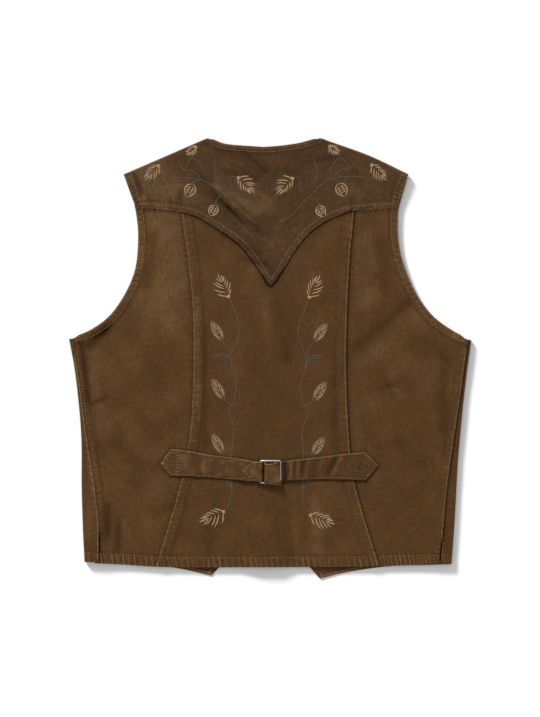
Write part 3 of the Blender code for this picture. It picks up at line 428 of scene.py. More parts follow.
class Piece:
    """A cut piece of the back: its finished edges, and the edges where it runs on under another piece."""

    def __init__(self, seed, finished, tucked=(), lapping=(), fade=0.0):
        self.seed = seed
        self.fade = fade
        self.finished = finished
        self.tucked = tucked
        self.lapping = lapping

    def surface(self, x, y):
        """Height of the right side and of the wrong side, and the wear and painted shading, which is negative
        where shade is painted.
        """
        x, y = np.asarray(x, float), np.asarray(y, float)
        base = under(x, y)
        band, detail, clear = (np.zeros_like(x) for _ in range(3))
        wear = self.fade + BLOTCH * rumple(x, y, BLOTCH_LONG, self.seed + 5)
        rim = np.full_like(x, 99.0)
        for k, (line, side, (width, rise, rows, pucker, period, paling)) in enumerate(self.finished):
            away, run = line.near(x, y)
            away = np.maximum(away * side, 0)
            rim = np.minimum(rim, away)
            band = np.maximum(band, rise * ramp(away, width, width + RAMP))
            detail -= EDGE_ROUND * (1 - np.sqrt(1 - np.clip(1 - away / (2 * EDGE_ROUND), 0, 1) ** 2))
            inside = ramp(away, 0.6 * width, 1.5 * width + 3)
            waves = ripple(run + 0.2 * away, period, self.seed * 10 + k)
            detail += pucker * waves * inside * (0.3 + 0.7 * ramp(-away, -3.0, -0.5))
            for row in rows:
                detail -= ROW_DEPTH * bell(away - row, ROW_HALF) * (1 + 0.4 * waves)
                # Painted shade along the row, and painted light and shade of the puckers along it
                wear -= 0.5 * bell(away - row, 1.3)
                wear += TICK_SHADING * np.cos(math.tau * run / TICKS + waves) * bell(away - row, 2.4)
            # Pale worn rim, with painted light on the puckers' crests and painted shade in their dips
            wear += paling * (0.8 + 0.4 * waves) * bell(away, RIM_WEAR_HALF) + 2.0 * pucker * waves * inside
            # Painted highlight at the top of the band's step, and painted shade at its foot
            wear += 0.12 * bell(away - width + 2.2, 1.8)
            wear -= 0.35 * bell(away - width - RAMP, 2.2)
        for line, side, open_from, depth in self.tucked:
            away, run = line.near(x, y)
            away = away * side
            gap = GROOVE_CLOSED + (1 - GROOVE_CLOSED) * ramp(y, open_from, open_from + 3)
            detail -= 0.3 * ramp(away, -1.5, 0.0)
            # Painted shade in the groove beside the piece that laps this one
            wear -= depth * gap * (GROOVE_DARK * ramp(away, 0.8, 2.8) + GROOVE_SHADE * ramp(away, 2.0, 8.0))
            waves = ripple(run, 6, self.seed * 10 + 7)
            detail += 0.14 * waves * ramp(away, 4, 12)
            # Painted light and shade on the ripples beside the seam
            wear += 0.25 * waves * ramp(away, 3, 9)
        for line, side in self.lapping:
            away, run = line.near(x, y)
            clear = np.maximum(clear, ramp(np.maximum(away * side, 0), LAPPED, LAPPED + RAMP))
        creased = folded(x, y, CREASES)
        # Painted light on ridges and painted shade in troughs, plus the painted shading listed in the tables
        wear += CREASE_SHADING * creased + FOLD_SHADING * folded(x, y, FOLDS) + folded(x, y, PAINTED_SHADING + STRAP_EDGE_SHADE)
        top = base + CLOTH + band + detail + creased
        calm = 1 - 0.7 * ramp(rim, 6, 34)
        waves = WAVE * rumple(x, y, WAVE_LONG, self.seed) + RUMPLE * rumple(x, y, RUMPLE_LONG, self.seed + 1)
        top += calm * waves
        wrong = np.minimum(base + CLOTH - WALL + LAPPED_RISE * clear, top - THINNEST)
        return top, wrong, wear

    def top(self, x, y):
        return self.surface(x, y)[0]


hem_edge = (hem_line, 1, HEM_EDGE)
center_piece = Piece(
    3,
    [(panel_left, 1, PANEL_EDGE), (panel_right, -1, PANEL_EDGE), hem_edge],
    tucked=[(yoke_line, -1, ALWAYS, 1.0)],
    lapping=[(panel_left, 1), (panel_right, -1)],
)
# Both side pieces are shifted paler than the middle, the left more: partly their own tone, partly painted
# light from the upper left
side_pieces = {
    "left": Piece(
        11,
        [(armhole_left, 1, ARM_EDGE), (seam_left, 1, BACK_EDGE), hem_edge],
        tucked=[(yoke_line, -1, ALWAYS, 0.55), (panel_left, -1, ALWAYS, 0.4), (seam_left, 1, VENT_LEFT, 0.9)],
        fade=0.12,
    ),
    "right": Piece(
        17,
        [(armhole_right, -1, ARM_EDGE), (seam_right, -1, SEAM_EDGE), hem_edge],
        tucked=[(yoke_line, -1, ALWAYS, 0.55), (panel_right, 1, ALWAYS, 0.9)],
        lapping=[(seam_right, -1)],
        fade=0.05,
    ),
}
yoke_piece = Piece(
    23,
    [(yoke_line, 1, YOKE_EDGE), (armhole_left, 1, ARM_EDGE), (armhole_right, -1, ARM_EDGE),
     (neck_line, -1, NECK_EDGE)],
    lapping=[(yoke_line, 1)],
)
strip_pieces = {
    "left": Piece(29, [(seam_left, -1, STRIP_EDGE), hem_edge], lapping=[(seam_left, -1)]),
    "right": Piece(31, [(vent_right, 1, STRIP_EDGE), hem_edge], tucked=[(seam_right, 1, ALWAYS, 0.9)]),
}


# Meshes

# Where the mesh has rows, as distances from an edge
NEAR_EDGE = [0.0, 0.3, 0.8, 1.5, 2.4, 3.6, 5.2]
TUCKED_EDGE = [-TUCK, -2.5, -0.6, 0.2, 1.0, 2.0, 3.4, 5.4]
LAPPED_EDGE = [0.0, 2.5, 4.4, 5.2, 6.0, 7.0, 8.4, 10.4]
NECK_ROWS = [0.0, 0.4, 1.0, 2.0, 3.4]
HEM_ROWS = [0.0, 0.3, 0.9, 1.8, 3.4, 5.8, 8.4, 10.6, 12.0, 12.8, 13.4, 14.0, 14.8, 15.6, 16.4, 17.2, 18.4]
STRIP_SHARES = np.array([0.0, 0.02, 0.06, 0.12, 0.2, 0.3, 0.42, 0.56, 0.7, 0.85, 1.0])
# Common lengths of rows, which set how many points each has
BACK_LENGTH, BACK_HALF_LEFT, BACK_HALF_RIGHT = 480, 110, 105
SIDE_WIDTH, YOKE_HEIGHT, FRONT_WIDTH, SHOULDER_WIDTH = 140, 110, 110, 24
SHARP = math.radians(50)


def stops(length, near, far, pitch=PITCH):
    """Distances across a row: fixed ones near both ends, and even spans between them."""
    count = max(2, round((length - near[-1] - far[-1]) / pitch))
    middle = np.linspace(near[-1], length - far[-1], count + 1)[1:-1]
    return np.concatenate([near, middle, length - np.array(far)[::-1]])


def lattice(start, end, near, far, typical, pitch=FINE_PITCH):
    """Plan points between two lines of points: (rows, columns, 2). typical is a common row's length."""
    shares = stops(typical, near, far, pitch)
    length = np.linalg.norm(end - start, axis=1)
    inner = (shares > near[-1]) & (shares < typical - far[-1])
    spread = (shares - near[-1]) / (typical - near[-1] - far[-1])
    between = near[-1] + spread[None] * (length[:, None] - near[-1] - far[-1])
    from_end = length[:, None] - (typical - shares)[None]
    distance = np.where(inner[None], between, np.where(shares <= near[-1], shares, from_end))
    along = (end - start) / length[:, None]
    return start[:, None] + along[:, None] * distance[..., None]


def pinned(grid, top, foot):
    """The grid with its first row on one curve, if there is one, and its last row on another."""
    share = np.linspace(0, 1, len(grid))[:, None]
    for k, curve, fade in ((0, top, (1 - share) ** 3), (-1, foot, share**3)):
        if curve is not None:
            grid[..., 1] += (curve(grid[k, :, 0]) - grid[k, :, 1])[None] * fade
    return grid


def laid(piece, grid):
    """The right side, the wrong side and the wear and painted shading of a piece that faces up, from its plan
    points.
    """
    x, y = grid[..., 0], grid[..., 1]
    top, wrong, wear = piece.surface(x, y)
    return np.dstack([x, y, top]), np.dstack([x, y, wrong]), wear


def shell(name, patches, slot):
    """A closed wall of cloth from patches of (right side, wrong side, wear and painted shading), joined where
    they meet.
    """
    points, backs, wear_and_shading_values, quads = [], [], [], []
    total = 0
    for right, wrong, wear in patches:
        rows, columns = right.shape[:2]
        index = np.arange(rows * columns).reshape(rows, columns) + total
        corners = (index[:-1, :-1], index[:-1, 1:], index[1:, 1:], index[1:, :-1])
        quads.append(np.stack(corners, -1).reshape(-1, 4))
        points.append(right.reshape(-1, 3))
        backs.append(wrong.reshape(-1, 3))
        wear_and_shading_values.append(np.broadcast_to(wear, (rows, columns)).ravel())
        total += rows * columns
    points, backs, wear_and_shading_values, quads = map(np.concatenate, (points, backs, wear_and_shading_values, quads))
    _, first, index = np.unique(np.round(points, 3), axis=0, return_index=True, return_inverse=True)
    quads = index.reshape(-1)[quads]
    points, backs, wear_and_shading_values = points[first], backs[first], wear_and_shading_values[first]
    a, b = quads.ravel(), np.roll(quads, -1, axis=1).ravel()
    size = len(points)
    rim = ~np.isin(a * size + b, b * size + a)
    a, b = a[rim], b[rim]
    faces = np.concatenate([quads, quads[:, ::-1] + size, np.stack([b, a, a + size, b + size], -1)])
    mesh = solid_mesh(name, np.concatenate([points, backs]), faces.tolist())
    mesh.validate()
    made = riding(mesh, slot, "wear", [wear_and_shading_values, wear_and_shading_values])
    mesh.set_sharp_from_angle(angle=SHARP)
    return made


def solid_mesh(name, points, faces):
    """A closed mesh from points in millimetres, with its faces turned outwards."""
    mesh = bpy.data.meshes.new(name)
    mesh.from_pydata((points * MM).tolist(), [], faces)
    if volume_of(mesh) < 0:
        mesh.flip_normals()
    return mesh


def riding(mesh, slot, attribute, values):
    """A piece that rides on the vest, with a number for each point, which its finish reads."""
    mesh.shade_smooth()
    mesh.materials.clear()
    mesh.materials.append(finishes[slot])
    numbers = np.ravel(values).astype(np.float32)
    mesh.attributes.new(attribute, "FLOAT", "POINT").data.foreach_set("value", numbers)
    made = bpy.data.objects.new(mesh.name, mesh)
    bpy.context.scene.collection.objects.link(made)
    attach(made, BODY)
    return made


def volume_of(mesh):
    """Six times the volume that a mesh encloses, negative where its faces are turned inwards."""
    mesh.calc_loop_triangles()
    points = np.empty(len(mesh.vertices) * 3)
    mesh.vertices.foreach_get("co", points)
    corners = np.empty(len(mesh.loop_triangles) * 3, int)
    mesh.loop_triangles.foreach_get("vertices", corners)
    a, b, c = points.reshape(-1, 3)[corners.reshape(-1, 3)].transpose(1, 0, 2)
    return (a * np.cross(b, c)).sum()


# The cloth of the back

def yoke_cover(x):
    """Where the panels end under the yoke."""
    return yoke_y(x) + TUCK


def back_center():
    shown = BACK_LENGTH - TUCK
    shares = stops(shown, TUCKED_EDGE, HEM_ROWS) / shown
    start = panel_left.at(shares * panel_left.length)
    end = panel_right.at(shares * panel_right.length)
    middle_y = YOKE_TIP[1] - shares * (YOKE_TIP[1] - hem_y(YOKE_TIP[0]))
    middle = np.stack([np.full_like(middle_y, YOKE_TIP[0]), middle_y], 1)
    left = lattice(start, middle, NEAR_EDGE, [0.0], BACK_HALF_LEFT)
    right = lattice(end, middle, NEAR_EDGE, [0.0], BACK_HALF_RIGHT)
    grid = pinned(np.concatenate([left, right[:, ::-1][:, 1:]], axis=1), yoke_cover, hem_y)
    return shell("cloth_back_center", [laid(center_piece, grid)], "canvas")


def opened(y, top):
    """1 where a vent that starts at this height is open, and 0 above it."""
    return ramp(y, top + VENT_SPAN[0], top + VENT_SPAN[1])


YOKE_END = (180.0, 204.0)  # about where the yoke meets the armholes


def back_side(side, panel, armhole, seam, sign):
    top_run = armhole.near(np.array([sign * YOKE_END[0]]), np.array([YOKE_END[1] + TUCK]))[1][0]
    arm = armhole.at(np.arange(top_run, armhole.length - 14, PITCH))
    down = stops(seam.length, [0.5, 2.5], HEM_ROWS)
    # The left edge runs on under the front's wrapped strip, the right one lies over it. The vents stand open
    seam_y = seam.at(down)[:, 1]
    if sign < 0:
        open_ = opened(seam_y, VENT_LEFT) * ramp(-seam_y, *VENT_LEFT_END)
        tuck = np.minimum(TUCK, 0.5 + 0.06 * down)
    else:
        open_ = opened(seam_y, VENT_RIGHT)
        tuck = 0.0
    side_points = seam.at(down, sign * (tuck * (1 - open_) - SLIT * open_))
    bridge = np.linspace(arm[-1], side_points[0], 5)[1:-1]
    outside = np.concatenate([arm, bridge, side_points])
    step = np.linalg.norm(np.diff(outside, axis=0), axis=1)
    share = np.concatenate([[0], np.cumsum(step)]) / step.sum()
    inside = panel.at(-TUCK + share * (panel.length + TUCK), -sign * TUCK)
    grid = pinned(lattice(inside, outside, LAPPED_EDGE, NEAR_EDGE, SIDE_WIDTH), yoke_cover, hem_y)
    return shell(f"cloth_back_side_{side}", [laid(side_pieces[side], grid)], "canvas")


ROLL_STEPS = 8
ROLL_WEAR = 0.5


def rolled(tops, wrongs, edges, low):
    """Cloth that rolls over an edge, from its points on top, round the outline's points, down to low."""
    plan = edges - tops[:, :2]
    reach = np.linalg.norm(plan, axis=1)
    out = plan / reach[:, None]
    radius = (tops[:, 2] - low) / 2
    right, wrong = [], []
    for k in range(ROLL_STEPS + 1):
        angle = math.pi * (0.5 - k / ROLL_STEPS)
        for made, across, up in ((right, reach, radius), (wrong, reach - WALL, radius - WALL)):
            plan = tops[:, :2] + out * (across * math.cos(angle))[:, None]
            made.append(np.column_stack([plan, low + radius + up * math.sin(angle)]))
    right, wrong = np.stack(right, 1), np.stack(wrong, 1)
    wrong[:, 0] = wrongs
    wear = np.broadcast_to(ROLL_WEAR * np.sin(np.linspace(0, math.pi, ROLL_STEPS + 1)), right.shape[:2])
    return right, wrong, wear


def facing_down(grid, lift, hem=None):
    """Cloth that lies face down: its right side at this height above the surface."""
    x, y = grid[..., 0], grid[..., 1]
    low = lift(x, y)
    wear = 0.25 * rumple(x, y, 30, 41)
    if hem is not None:
        away, run = hem.near(x, y)
        away = np.abs(away)
        wear = wear + 1.2 * bell(away, 1.2) - 0.8 * bell(away - 3.4, 1.2)
        wear += 0.5 * ripple(run, 5.0, 43) * ramp(away, 4, 9)
    return np.dstack([x, y, low]), np.dstack([x, y, low + WALL]), wear


def inward(points, distance):
    """The points moved to the right of their own line."""
    along = np.gradient(points, axis=0)
    along /= np.linalg.norm(along, axis=1)[:, None]
    return points + distance * np.stack([along[:, 1], -along[:, 0]], axis=1)


def spaced(points, count, begin=0.0, end=1.0):
    """count spans along the smooth line through these points, between two shares of its length."""
    line = Line(points)
    return line.at(np.linspace(begin, end, count + 1) * line.length)


SPANS_SHOULDER, SPANS_NECK = 46, 32
FOLD_END = 1.3  # the shoulder's fold thins out to this, into the neck's edge


def back_yoke():
    low = np.vstack([
        spaced(YOKE_LEFT, SPANS_SHOULDER, 0.0, 0.52)[:-1],
        spaced(YOKE_LEFT, SPANS_NECK, 0.52)[:-1],
        spaced(YOKE_RIGHT, SPANS_NECK, 0.0, 0.48)[:-1],
        spaced(YOKE_RIGHT, SPANS_SHOULDER, 0.48),
    ])
    edge_left = spaced(SHOULDER_LEFT[:-1] + SHOULDER_ENDS[0], SPANS_SHOULDER)
    edge_right = spaced(SHOULDER_RIGHT[:-1] + SHOULDER_ENDS[1], SPANS_SHOULDER)[::-1]
    fold = FOLD - (FOLD - FOLD_END) * np.linspace(0, 1, SPANS_SHOULDER + 1)[:, None] ** 8
    top_left, top_right = inward(edge_left, fold), inward(edge_right, fold[::-1])
    neck_left = spaced([tuple(top_left[-1])] + NECK_LEFT[1:], SPANS_NECK)[:-1]
    neck_right = spaced(NECK_RIGHT[:-1] + [tuple(top_right[0])], SPANS_NECK)
    high = np.vstack([top_left[:-1], neck_left, neck_right, top_right[1:]])
    top = laid(yoke_piece, lattice(low, high, NEAR_EDGE, NECK_ROWS, YOKE_HEIGHT))
    patches = [top]
    at_left, at_right = slice(0, SPANS_SHOULDER + 1), slice(-SPANS_SHOULDER - 1, None)
    for part, edges, *ends in (
            (at_left, edge_left, FRONT_ARMHOLE_LEFT[0], FRONT_NECK_LEFT[0]),
            (at_right, edge_right, FRONT_NECK_RIGHT[0], FRONT_ARMHOLE_RIGHT[0])):
        tops = top[0][part, -1]
        foot = np.linspace(*ends, len(tops))
        patches.append(rolled(tops, top[1][part, -1], edges, closure_lift(tops[:, 0], tops[:, 1])))
        under_shoulder = lattice(tops[:, :2], foot, [0.0], [0.0], SHOULDER_WIDTH, PITCH)
        patches.append(facing_down(under_shoulder, closure_lift))
    return shell("cloth_back_yoke", patches, "yoke_canvas")


# The fronts, face down, which wrap up round the sides

SPANS_ARMHOLE, SPANS_POINT = 46, 26


def front(side, sign, armhole, neck, outline, seam_points, hem, lift):
    edge_x = CLOSURE_X - sign * OVERLAP
    edge = Line(outline)
    edges = edge.at(stops(edge.length, [0.0], HEM_ROWS, PITCH * 1.2))
    foot = edges - [sign * FOLD, 0]
    outer = np.vstack([spaced(armhole[:-1] + [tuple(foot[0])], SPANS_ARMHOLE)[:-1], foot])
    inner = np.vstack([
        spaced(neck, SPANS_ARMHOLE)[:-1],
        np.linspace((edge_x, CLOSURE_TOP), (edge_x, CLOSURE_FOOT), len(foot) - SPANS_POINT)[:-1],
        np.linspace((edge_x, CLOSURE_FOOT), hem[-1], SPANS_POINT + 1),
    ])
    grid = pinned(lattice(outer, inner, [0.0], [0.0, 1.0, 2 * OVERLAP], FRONT_WIDTH, PITCH), None, y_at(hem))
    flat = facing_down(grid, lift, Line(hem))
    start = flat[0][SPANS_ARMHOLE:, 0]
    y = start[:, 1]
    seam_x = x_at(seam_points)(y)
    if sign > 0:
        seam_x = seam_x - UNDER_SEAM * (1 - opened(y, VENT_RIGHT))
    xs = seam_x[:, None] + (start[:, 0] - seam_x)[:, None] * STRIP_SHARES
    top = laid(strip_pieces[side], np.dstack([xs, np.broadcast_to(y[:, None], xs.shape)]))
    roll = rolled(top[0][:, -1], top[1][:, -1], np.column_stack([edges[:, 0], y]), lift(start[:, 0], y))
    made = shell(f"cloth_front_{side}", [flat, top, roll], "canvas")
    stitch_front_point(side, sign, hem, lift)
    return made


def stitch_front_point(side, sign, hem, lift):
    """The row along the hem's part that is seen from the back, and the tack at its point."""
    def inside(x, y):
        return lift(x, y) + WALL

    edge = Line(hem)
    rows = [row_of(inside, edge, sign * -3.2, edge.length - 62, edge.length - 3)]
    x, y = hem[-1]
    tack = Line([(x + sign * 2.6, y + 1.0), (x + sign * 1.4, y + 7.5)], 4)
    rows += [row_of(inside, tack, aside, pitch=1.6, length=1.3) for aside in (-0.6, 0.6)]
    sew(f"stitching_front_{side}", rows, "light_thread")


# Threads: each row of stitches, and each stroke of embroidery

def tube_faces(rings, sides):
    """The walls of a closed tube of rings, and its two ends, as numbers of points."""
    ring = np.arange(rings * sides).reshape(rings, sides)
    turned = np.roll(ring, -1, axis=1)
    walls = np.stack([ring[:-1], turned[:-1], turned[1:], ring[1:]], -1).reshape(-1, 4)
    return walls, (ring[0][::-1], ring[-1])


def threads(name, starts, ends, slot, width=THREAD, lift=0.3, sides=6, rings=5):
    """Short raised stitches between pairs of points, joined into one piece."""
    step = ends - starts
    length = np.linalg.norm(step, axis=1)
    along = step / length[:, None]
    across = np.cross([0, 0, 1], along)
    across /= np.linalg.norm(across, axis=1)[:, None]
    up = np.cross(along, across)
    share = np.linspace(0, 1, rings)
    bulge = np.sqrt(np.clip(1 - (2 * share - 1) ** 4, 0.05, 1))
    rise = lift * np.sin(np.pi * share) ** 0.6 - 0.1
    angle = np.linspace(0, math.tau, sides, endpoint=False)
    middle = starts[:, None] + step[:, None] * share[:, None] + up[:, None] * rise[:, None]
    wide, high = np.cos(angle)[:, None], np.sin(angle)[:, None]
    round_it = across[:, None, None] * wide + FLATNESS * up[:, None, None] * high
    points = middle[:, :, None] + round_it * (bulge * width / 2)[:, None, None]
    walls, caps = tube_faces(rings, sides)
    each = np.arange(len(starts)) * rings * sides
    faces = (walls[None] + each[:, None, None]).reshape(-1, 4).tolist()
    faces += [(cap + first).tolist() for first in each for cap in caps]
    twist = share[None, :, None] * length[:, None, None] + angle / math.tau
    return riding(solid_mesh(name, points.reshape(-1, 3), faces), slot, "twist", twist)


def along_row(line, aside, begin=0.0, end=None, pitch=STITCH_PITCH, length=STITCH_LENGTH, seed=1):
    """Plan points of the two ends of each stitch in a row beside a line."""
    end = line.length if end is None else end
    dice = np.random.default_rng(seed)
    middles = np.arange(begin + pitch / 2, end - pitch / 2, pitch)
    middles = middles + dice.uniform(-0.15, 0.15, len(middles))
    wander = aside + dice.normal(0, 0.12, len(middles))
    return line.at(middles - length / 2, wander), line.at(middles + length / 2, wander)


def on(surface, plan):
    """Plan points set on a surface."""
    return np.column_stack([plan, surface(plan[:, 0], plan[:, 1])])


def row_of(surface, line, aside, *where, **how):
    """The ends of each stitch in a row on a surface."""
    return [on(surface, plan) for plan in along_row(line, aside, *where, **how)]


def sew(name, rows, slot="topstitch", **how):
    return threads(name, np.vstack([a for a, _ in rows]), np.vstack([b for _, b in rows]), slot, **how)


def strokes(name, lines, slot, width=1.6, height=0.55, rings=9, sides=7):
    """Raised strokes of satin stitch, each pointed at both ends, along plan lines on the cloth."""
    points, faces, twist = [], [], []
    share = np.linspace(0, 1, rings)
    walls, caps = tube_faces(rings, sides)
    for count, (surface, plan, wide) in enumerate(lines):
        path = Line(plan, 6)
        where = share * path.length
        middle = path.at(where)
        left = path.at(where, 1.0) - middle
        body = np.clip(np.sin(np.pi * share) ** 0.4, 0.3, 1) * wide / 2
        base = surface(middle[:, 0], middle[:, 1]) - STROKE_SINK
        ring = []
        for a in np.linspace(0, math.pi, sides):
            side = middle + left * (body * math.cos(a))[:, None]
            up = (STROKE_SINK + height * body / width * 2) * math.sin(a)
            ring.append(np.column_stack([side, base + up]))
        points.append(np.stack(ring, 1).reshape(-1, 3))
        first = count * rings * sides
        faces += (walls + first).tolist() + [(cap + first).tolist() for cap in caps]
        twist.append(where[:, None] + np.linspace(0, 2.5, sides)[None])
    return riding(solid_mesh(name, np.vstack(points), faces), slot, "twist", twist)


def topstitching():
    """The rows of thread along the seams and edges of the back."""
    center, yoke = center_piece.top, yoke_piece.top
    rows, inner = [], []
    for line, side in ((panel_left, 1), (panel_right, -1)):
        for row, into in zip(PANEL_ROWS, (rows, inner)):
            into.append(row_of(center, line, side * row, 2.0, line.length - 1.5))
    sew("stitching_center", rows)
    hem_end = hem_line.length
    hem = [row_of(center, hem_line, HEM_ROW, 108.0, hem_end - 111.0, **HEM_STITCH)]
    rows = []
    middle = yoke_line.length / 2
    for row, into in zip(YOKE_EDGE[2], (inner, rows)):
        for begin, end in ((3.0, middle - row), (middle + row, yoke_line.length - 3)):
            into.append(row_of(yoke, yoke_line, row, begin, end))
    rows += [row_of(yoke, neck_line, -row, 1.0, neck_line.length - 1) for row in NECK_EDGE[2]]
    for line, side in ((armhole_left, 1), (armhole_right, -1)):
        rows += [row_of(yoke, line, side * row, 3.0, 47.0) for row in ARM_EDGE[2]]
    sew("stitching_yoke", rows)
    for name, sign, arm, seam in (
            ("left", 1, armhole_left, seam_left), ("right", -1, armhole_right, seam_right)):
        top, strip = side_pieces[name].top, strip_pieces[name].top
        rows = [row_of(top, arm, sign * row, 49.0, arm.length - row * 1.2) for row in ARM_EDGE[2]]
        if sign > 0:
            rows.append(row_of(top, seam, 2.4, 14.0, 120.0, pitch=4.0))
            rows += [row_of(top, arm, 3.0 + 2.0 * k, arm.length - 16.0, arm.length - 4.0) for k in range(3)]
            along_hem = ((top, 29.0, 107.0), (strip, 9.0, 26.0))
            begin, slot = 26.0, "light_thread"
        else:
            rows += [row_of(top, arm, -3.0 - 2.2 * k, arm.length - 26.0, arm.length - 6.0) for k in range(3)]
            for row, into in zip(SEAM_ROWS, (rows, inner)):
                into.append(row_of(top, seam, -row, 12.0, seam.length - 36))
            along_hem = ((top, hem_end - 110.0, hem_end - 28.5), (strip, hem_end - 26.0, hem_end - 13.0))
            begin, slot = seam.length - 31, "topstitch"
        hem += [row_of(surface, hem_line, HEM_ROW, *where, **HEM_STITCH) for surface, *where in along_hem]
        sew(f"stitching_side_{name}", rows)
        row = row_of(strip, seam, -sign * STRIP_ROW, begin, seam.length - 2)
        sew(f"stitching_strip_{name}", [row], slot)
    sew("stitching_hem", hem, width=1.6, lift=0.35)
    # The inner rows take a darker copy of the thread: painted shade where they sink into the cloth
    sew("stitching_sunk", inner, "sunk_thread")


# Embroidery: sprigs, leaves and vines of this model's own drawing

def length_and_angle(base, tip):
    return math.dist(base, tip), math.degrees(math.atan2(tip[1] - base[1], tip[0] - base[0]))


def turned(origin, angle, points, mirror=1):
    """Points given along and across an axis, set out from an origin at an angle in degrees."""
    a = math.radians(angle)
    return [(origin[0] + u * math.cos(a) - v * mirror * math.sin(a),
             origin[1] + u * math.sin(a) + v * mirror * math.cos(a)) for u, v in points]


# The barbs of a sprig, in pairs: where each starts along the stem, its length, and its angle to the stem
BARBS = ((0.05, 0.36, 54), (0.20, 0.44, 47), (0.35, 0.42, 42), (0.49, 0.34, 36), (0.62, 0.26, 29))


def sprig(x, y, angle, length, mirror, seed):
    """A sprig: barbs in pairs along a bent stem, as strokes of pale thread and lines of the dark one."""
    base = (x, y)
    dice = np.random.default_rng(seed)
    pale, dark = [], []

    def stroke(points, wide):
        pale.append((turned(base, angle, points, mirror), wide))

    for k, (root, reach, lean) in enumerate(BARBS):
        for way in (1, -1):
            size = length * reach * dice.uniform(0.84, 1.14) * (1.1 if way > 0 else 0.82)
            turn = math.radians(lean * dice.uniform(0.88, 1.12) * (1.08 if way > 0 else 0.72))
            start = (root * length + dice.uniform(-0.6, 0.6), way * 0.9)
            tip = (start[0] + size * math.cos(turn), way * (0.9 + size * math.sin(turn)))
            bend = (start[0] + 0.46 * size * math.cos(turn), way * (0.9 + 0.60 * size * math.sin(turn)))
            stroke([start, bend, tip], 1.75 - 0.08 * k)
            beyond = (tip[0] + 2.6 * math.cos(turn), tip[1] + way * 2.6 * math.sin(turn))
            dark.append(turned(base, angle, [(bend[0] - 0.9, bend[1] + way * 1.1),
                                             (tip[0] - 0.4, tip[1] + way * 0.9), beyond], mirror))
    for way, reach in ((1, 1.0), (-1, 0.92)):
        stroke([(0.66 * length, way * 0.8), (0.84 * length, way * 1.8), (reach * length, way * 1.9)], 1.8)
    dark.append(turned(base, angle, [(0.86 * length, 0.2), (1.15 * length, 0.8)], mirror))
    for u, v, w in ((-1.6, 1.5, 2.2), (-2.0, 0.0, 2.2), (-1.5, -1.4, 2.2)):
        stroke([(u, v * 0.7), (0.4, v * 1.2), (w + 0.6, v * 0.7)], 1.9)
    return pale, dark


LEAF_WIDTH = 11.4


def leaf(base, tip):
    """A pointed leaf: an outline, and slanting strokes on both sides of a vein."""
    length, angle = length_and_angle(base, tip)
    pale, dark = [], []

    def half(share):
        return LEAF_WIDTH / 2 * math.sin(math.pi * share**0.85) ** 0.8

    for way in (1, -1):
        arc = [(u * length, way * (half(u) - 0.5)) for u in np.linspace(0.04, 0.96, 8)]
        pale.append((turned(base, angle, arc), 1.2))
        for k in range(3):
            root, end = 0.12 + 0.21 * k, 0.44 + 0.21 * k
            edge = way * max(half(end) - 1.7, 0.6)
            bend = ((root + 0.62 * (end - root)) * length, edge * 0.8)
            pale.append((turned(base, angle, [(root * length, way), bend, (end * length, edge)]), 1.35))
        outline = [(u * length, way * (half(u) + 0.9)) for u in np.linspace(0.0, 1.0, 9)]
        dark.append(turned(base, angle, outline))
    dark.append(turned(base, angle, [(0.05 * length, 0.0), (0.5 * length, 0.2), (0.93 * length, 0.0)]))
    return pale, dark


BUD_ARC = ((-0.48, 0.03), (-0.32, 0.30), (0.02, 0.40), (0.32, 0.26), (0.56, 0.02))
BUD_STROKES = (((-0.26, 0.06), (-0.06, 0.26)), ((-0.08, 0.06), (0.14, 0.25)), ((0.12, 0.05), (0.30, 0.17)))


def bud(x, y, angle, size):
    """A round leaf with a point: a pale outline, a vein, and strokes on both sides of it."""
    pale = []
    for way in (1, -1):
        for shape in (BUD_ARC, *BUD_STROKES):
            pale.append((turned((x, y), angle, [(u * size, way * v * size) for u, v in shape]), 1.9))
    vein = [(-0.62 * size, 0.0), (0.0, 0.02 * size), (0.44 * size, 0.0)]
    return pale, [turned((x, y), angle, vein)]


# Where the motifs go: (x, y) of the base, the angle, the length, and -1 for a mirrored one
SPRIGS = [
    (-56.5, 83, 112, 34, 1), (-63, -209, 200, 36, 1), (53, 82, 67, 34, -1), (54.5, -213.5, -18, 36, -1),
]
# The base and the tip of each leaf
LEAVES = [
    ((-64.8, 23.5), (-80.5, 50.5)), ((-63, -56.5), (-79, -27.5)), ((-64, -130), (-79, -102.5)),
    ((60, 22.5), (77.5, 47.8)), ((59.5, -58), (76.3, -31.5)), ((58, -131.5), (73.8, -107)),
]
VINES = [
    [(-56.5, 83), (-43.5, 49), (-43.5, 27), (-53.5, 5), (-51.5, -11), (-46, -32.5), (-50.5, -61), (-55, -68),
     (-49.5, -96.5), (-51.5, -122), (-53, -150), (-52, -174), (-52.5, -185), (-56, -197), (-62, -208)],
    [(53, 82), (38.5, 38.5), (42.5, 15.5), (49.5, 2.5), (47.5, -14.5), (41, -42), (46.5, -64), (51.5, -70),
     (43.8, -100), (45.5, -130), (44.5, -160), (45.7, -197), (53.5, -213)],
    [(-64.8, 23.5), (-57, 14), (-53.5, 5)], [(-63, -56.5), (-57, -60), (-52, -66)],
    [(-64, -130), (-58, -128), (-51.5, -122)], [(60, 22.5), (53, 14), (49.5, 2.5)],
    [(59.5, -58), (53, -62), (48.5, -66)], [(58, -131.5), (52, -130), (45.5, -130)],
]
SMALL_LEAVES = [
    ((-51.5, -11), (-75.5, 4)), ((49, -13.5), (71, 2.5)), ((-53, -176), (-61, -166)),
    ((46, -177.5), (55, -166.5)),
]
YOKE_SPRIGS = [
    (-43.5, 245.5, -47, 31, 1), (30.5, 244.5, -133, 31, -1), (-151.5, 261.5, 222, 28, 1),
    (138, 262.5, -43, 29, -1), (-101, 287, 215, 17, 1), (81, 288, -34, 17, -1),
]
YOKE_BUDS = [
    (-109, 228.3, 242, 18.5), (-77.3, 200.8, 238, 15.5), (97.2, 229, -60, 19), (69, 199.8, -56, 16),
]
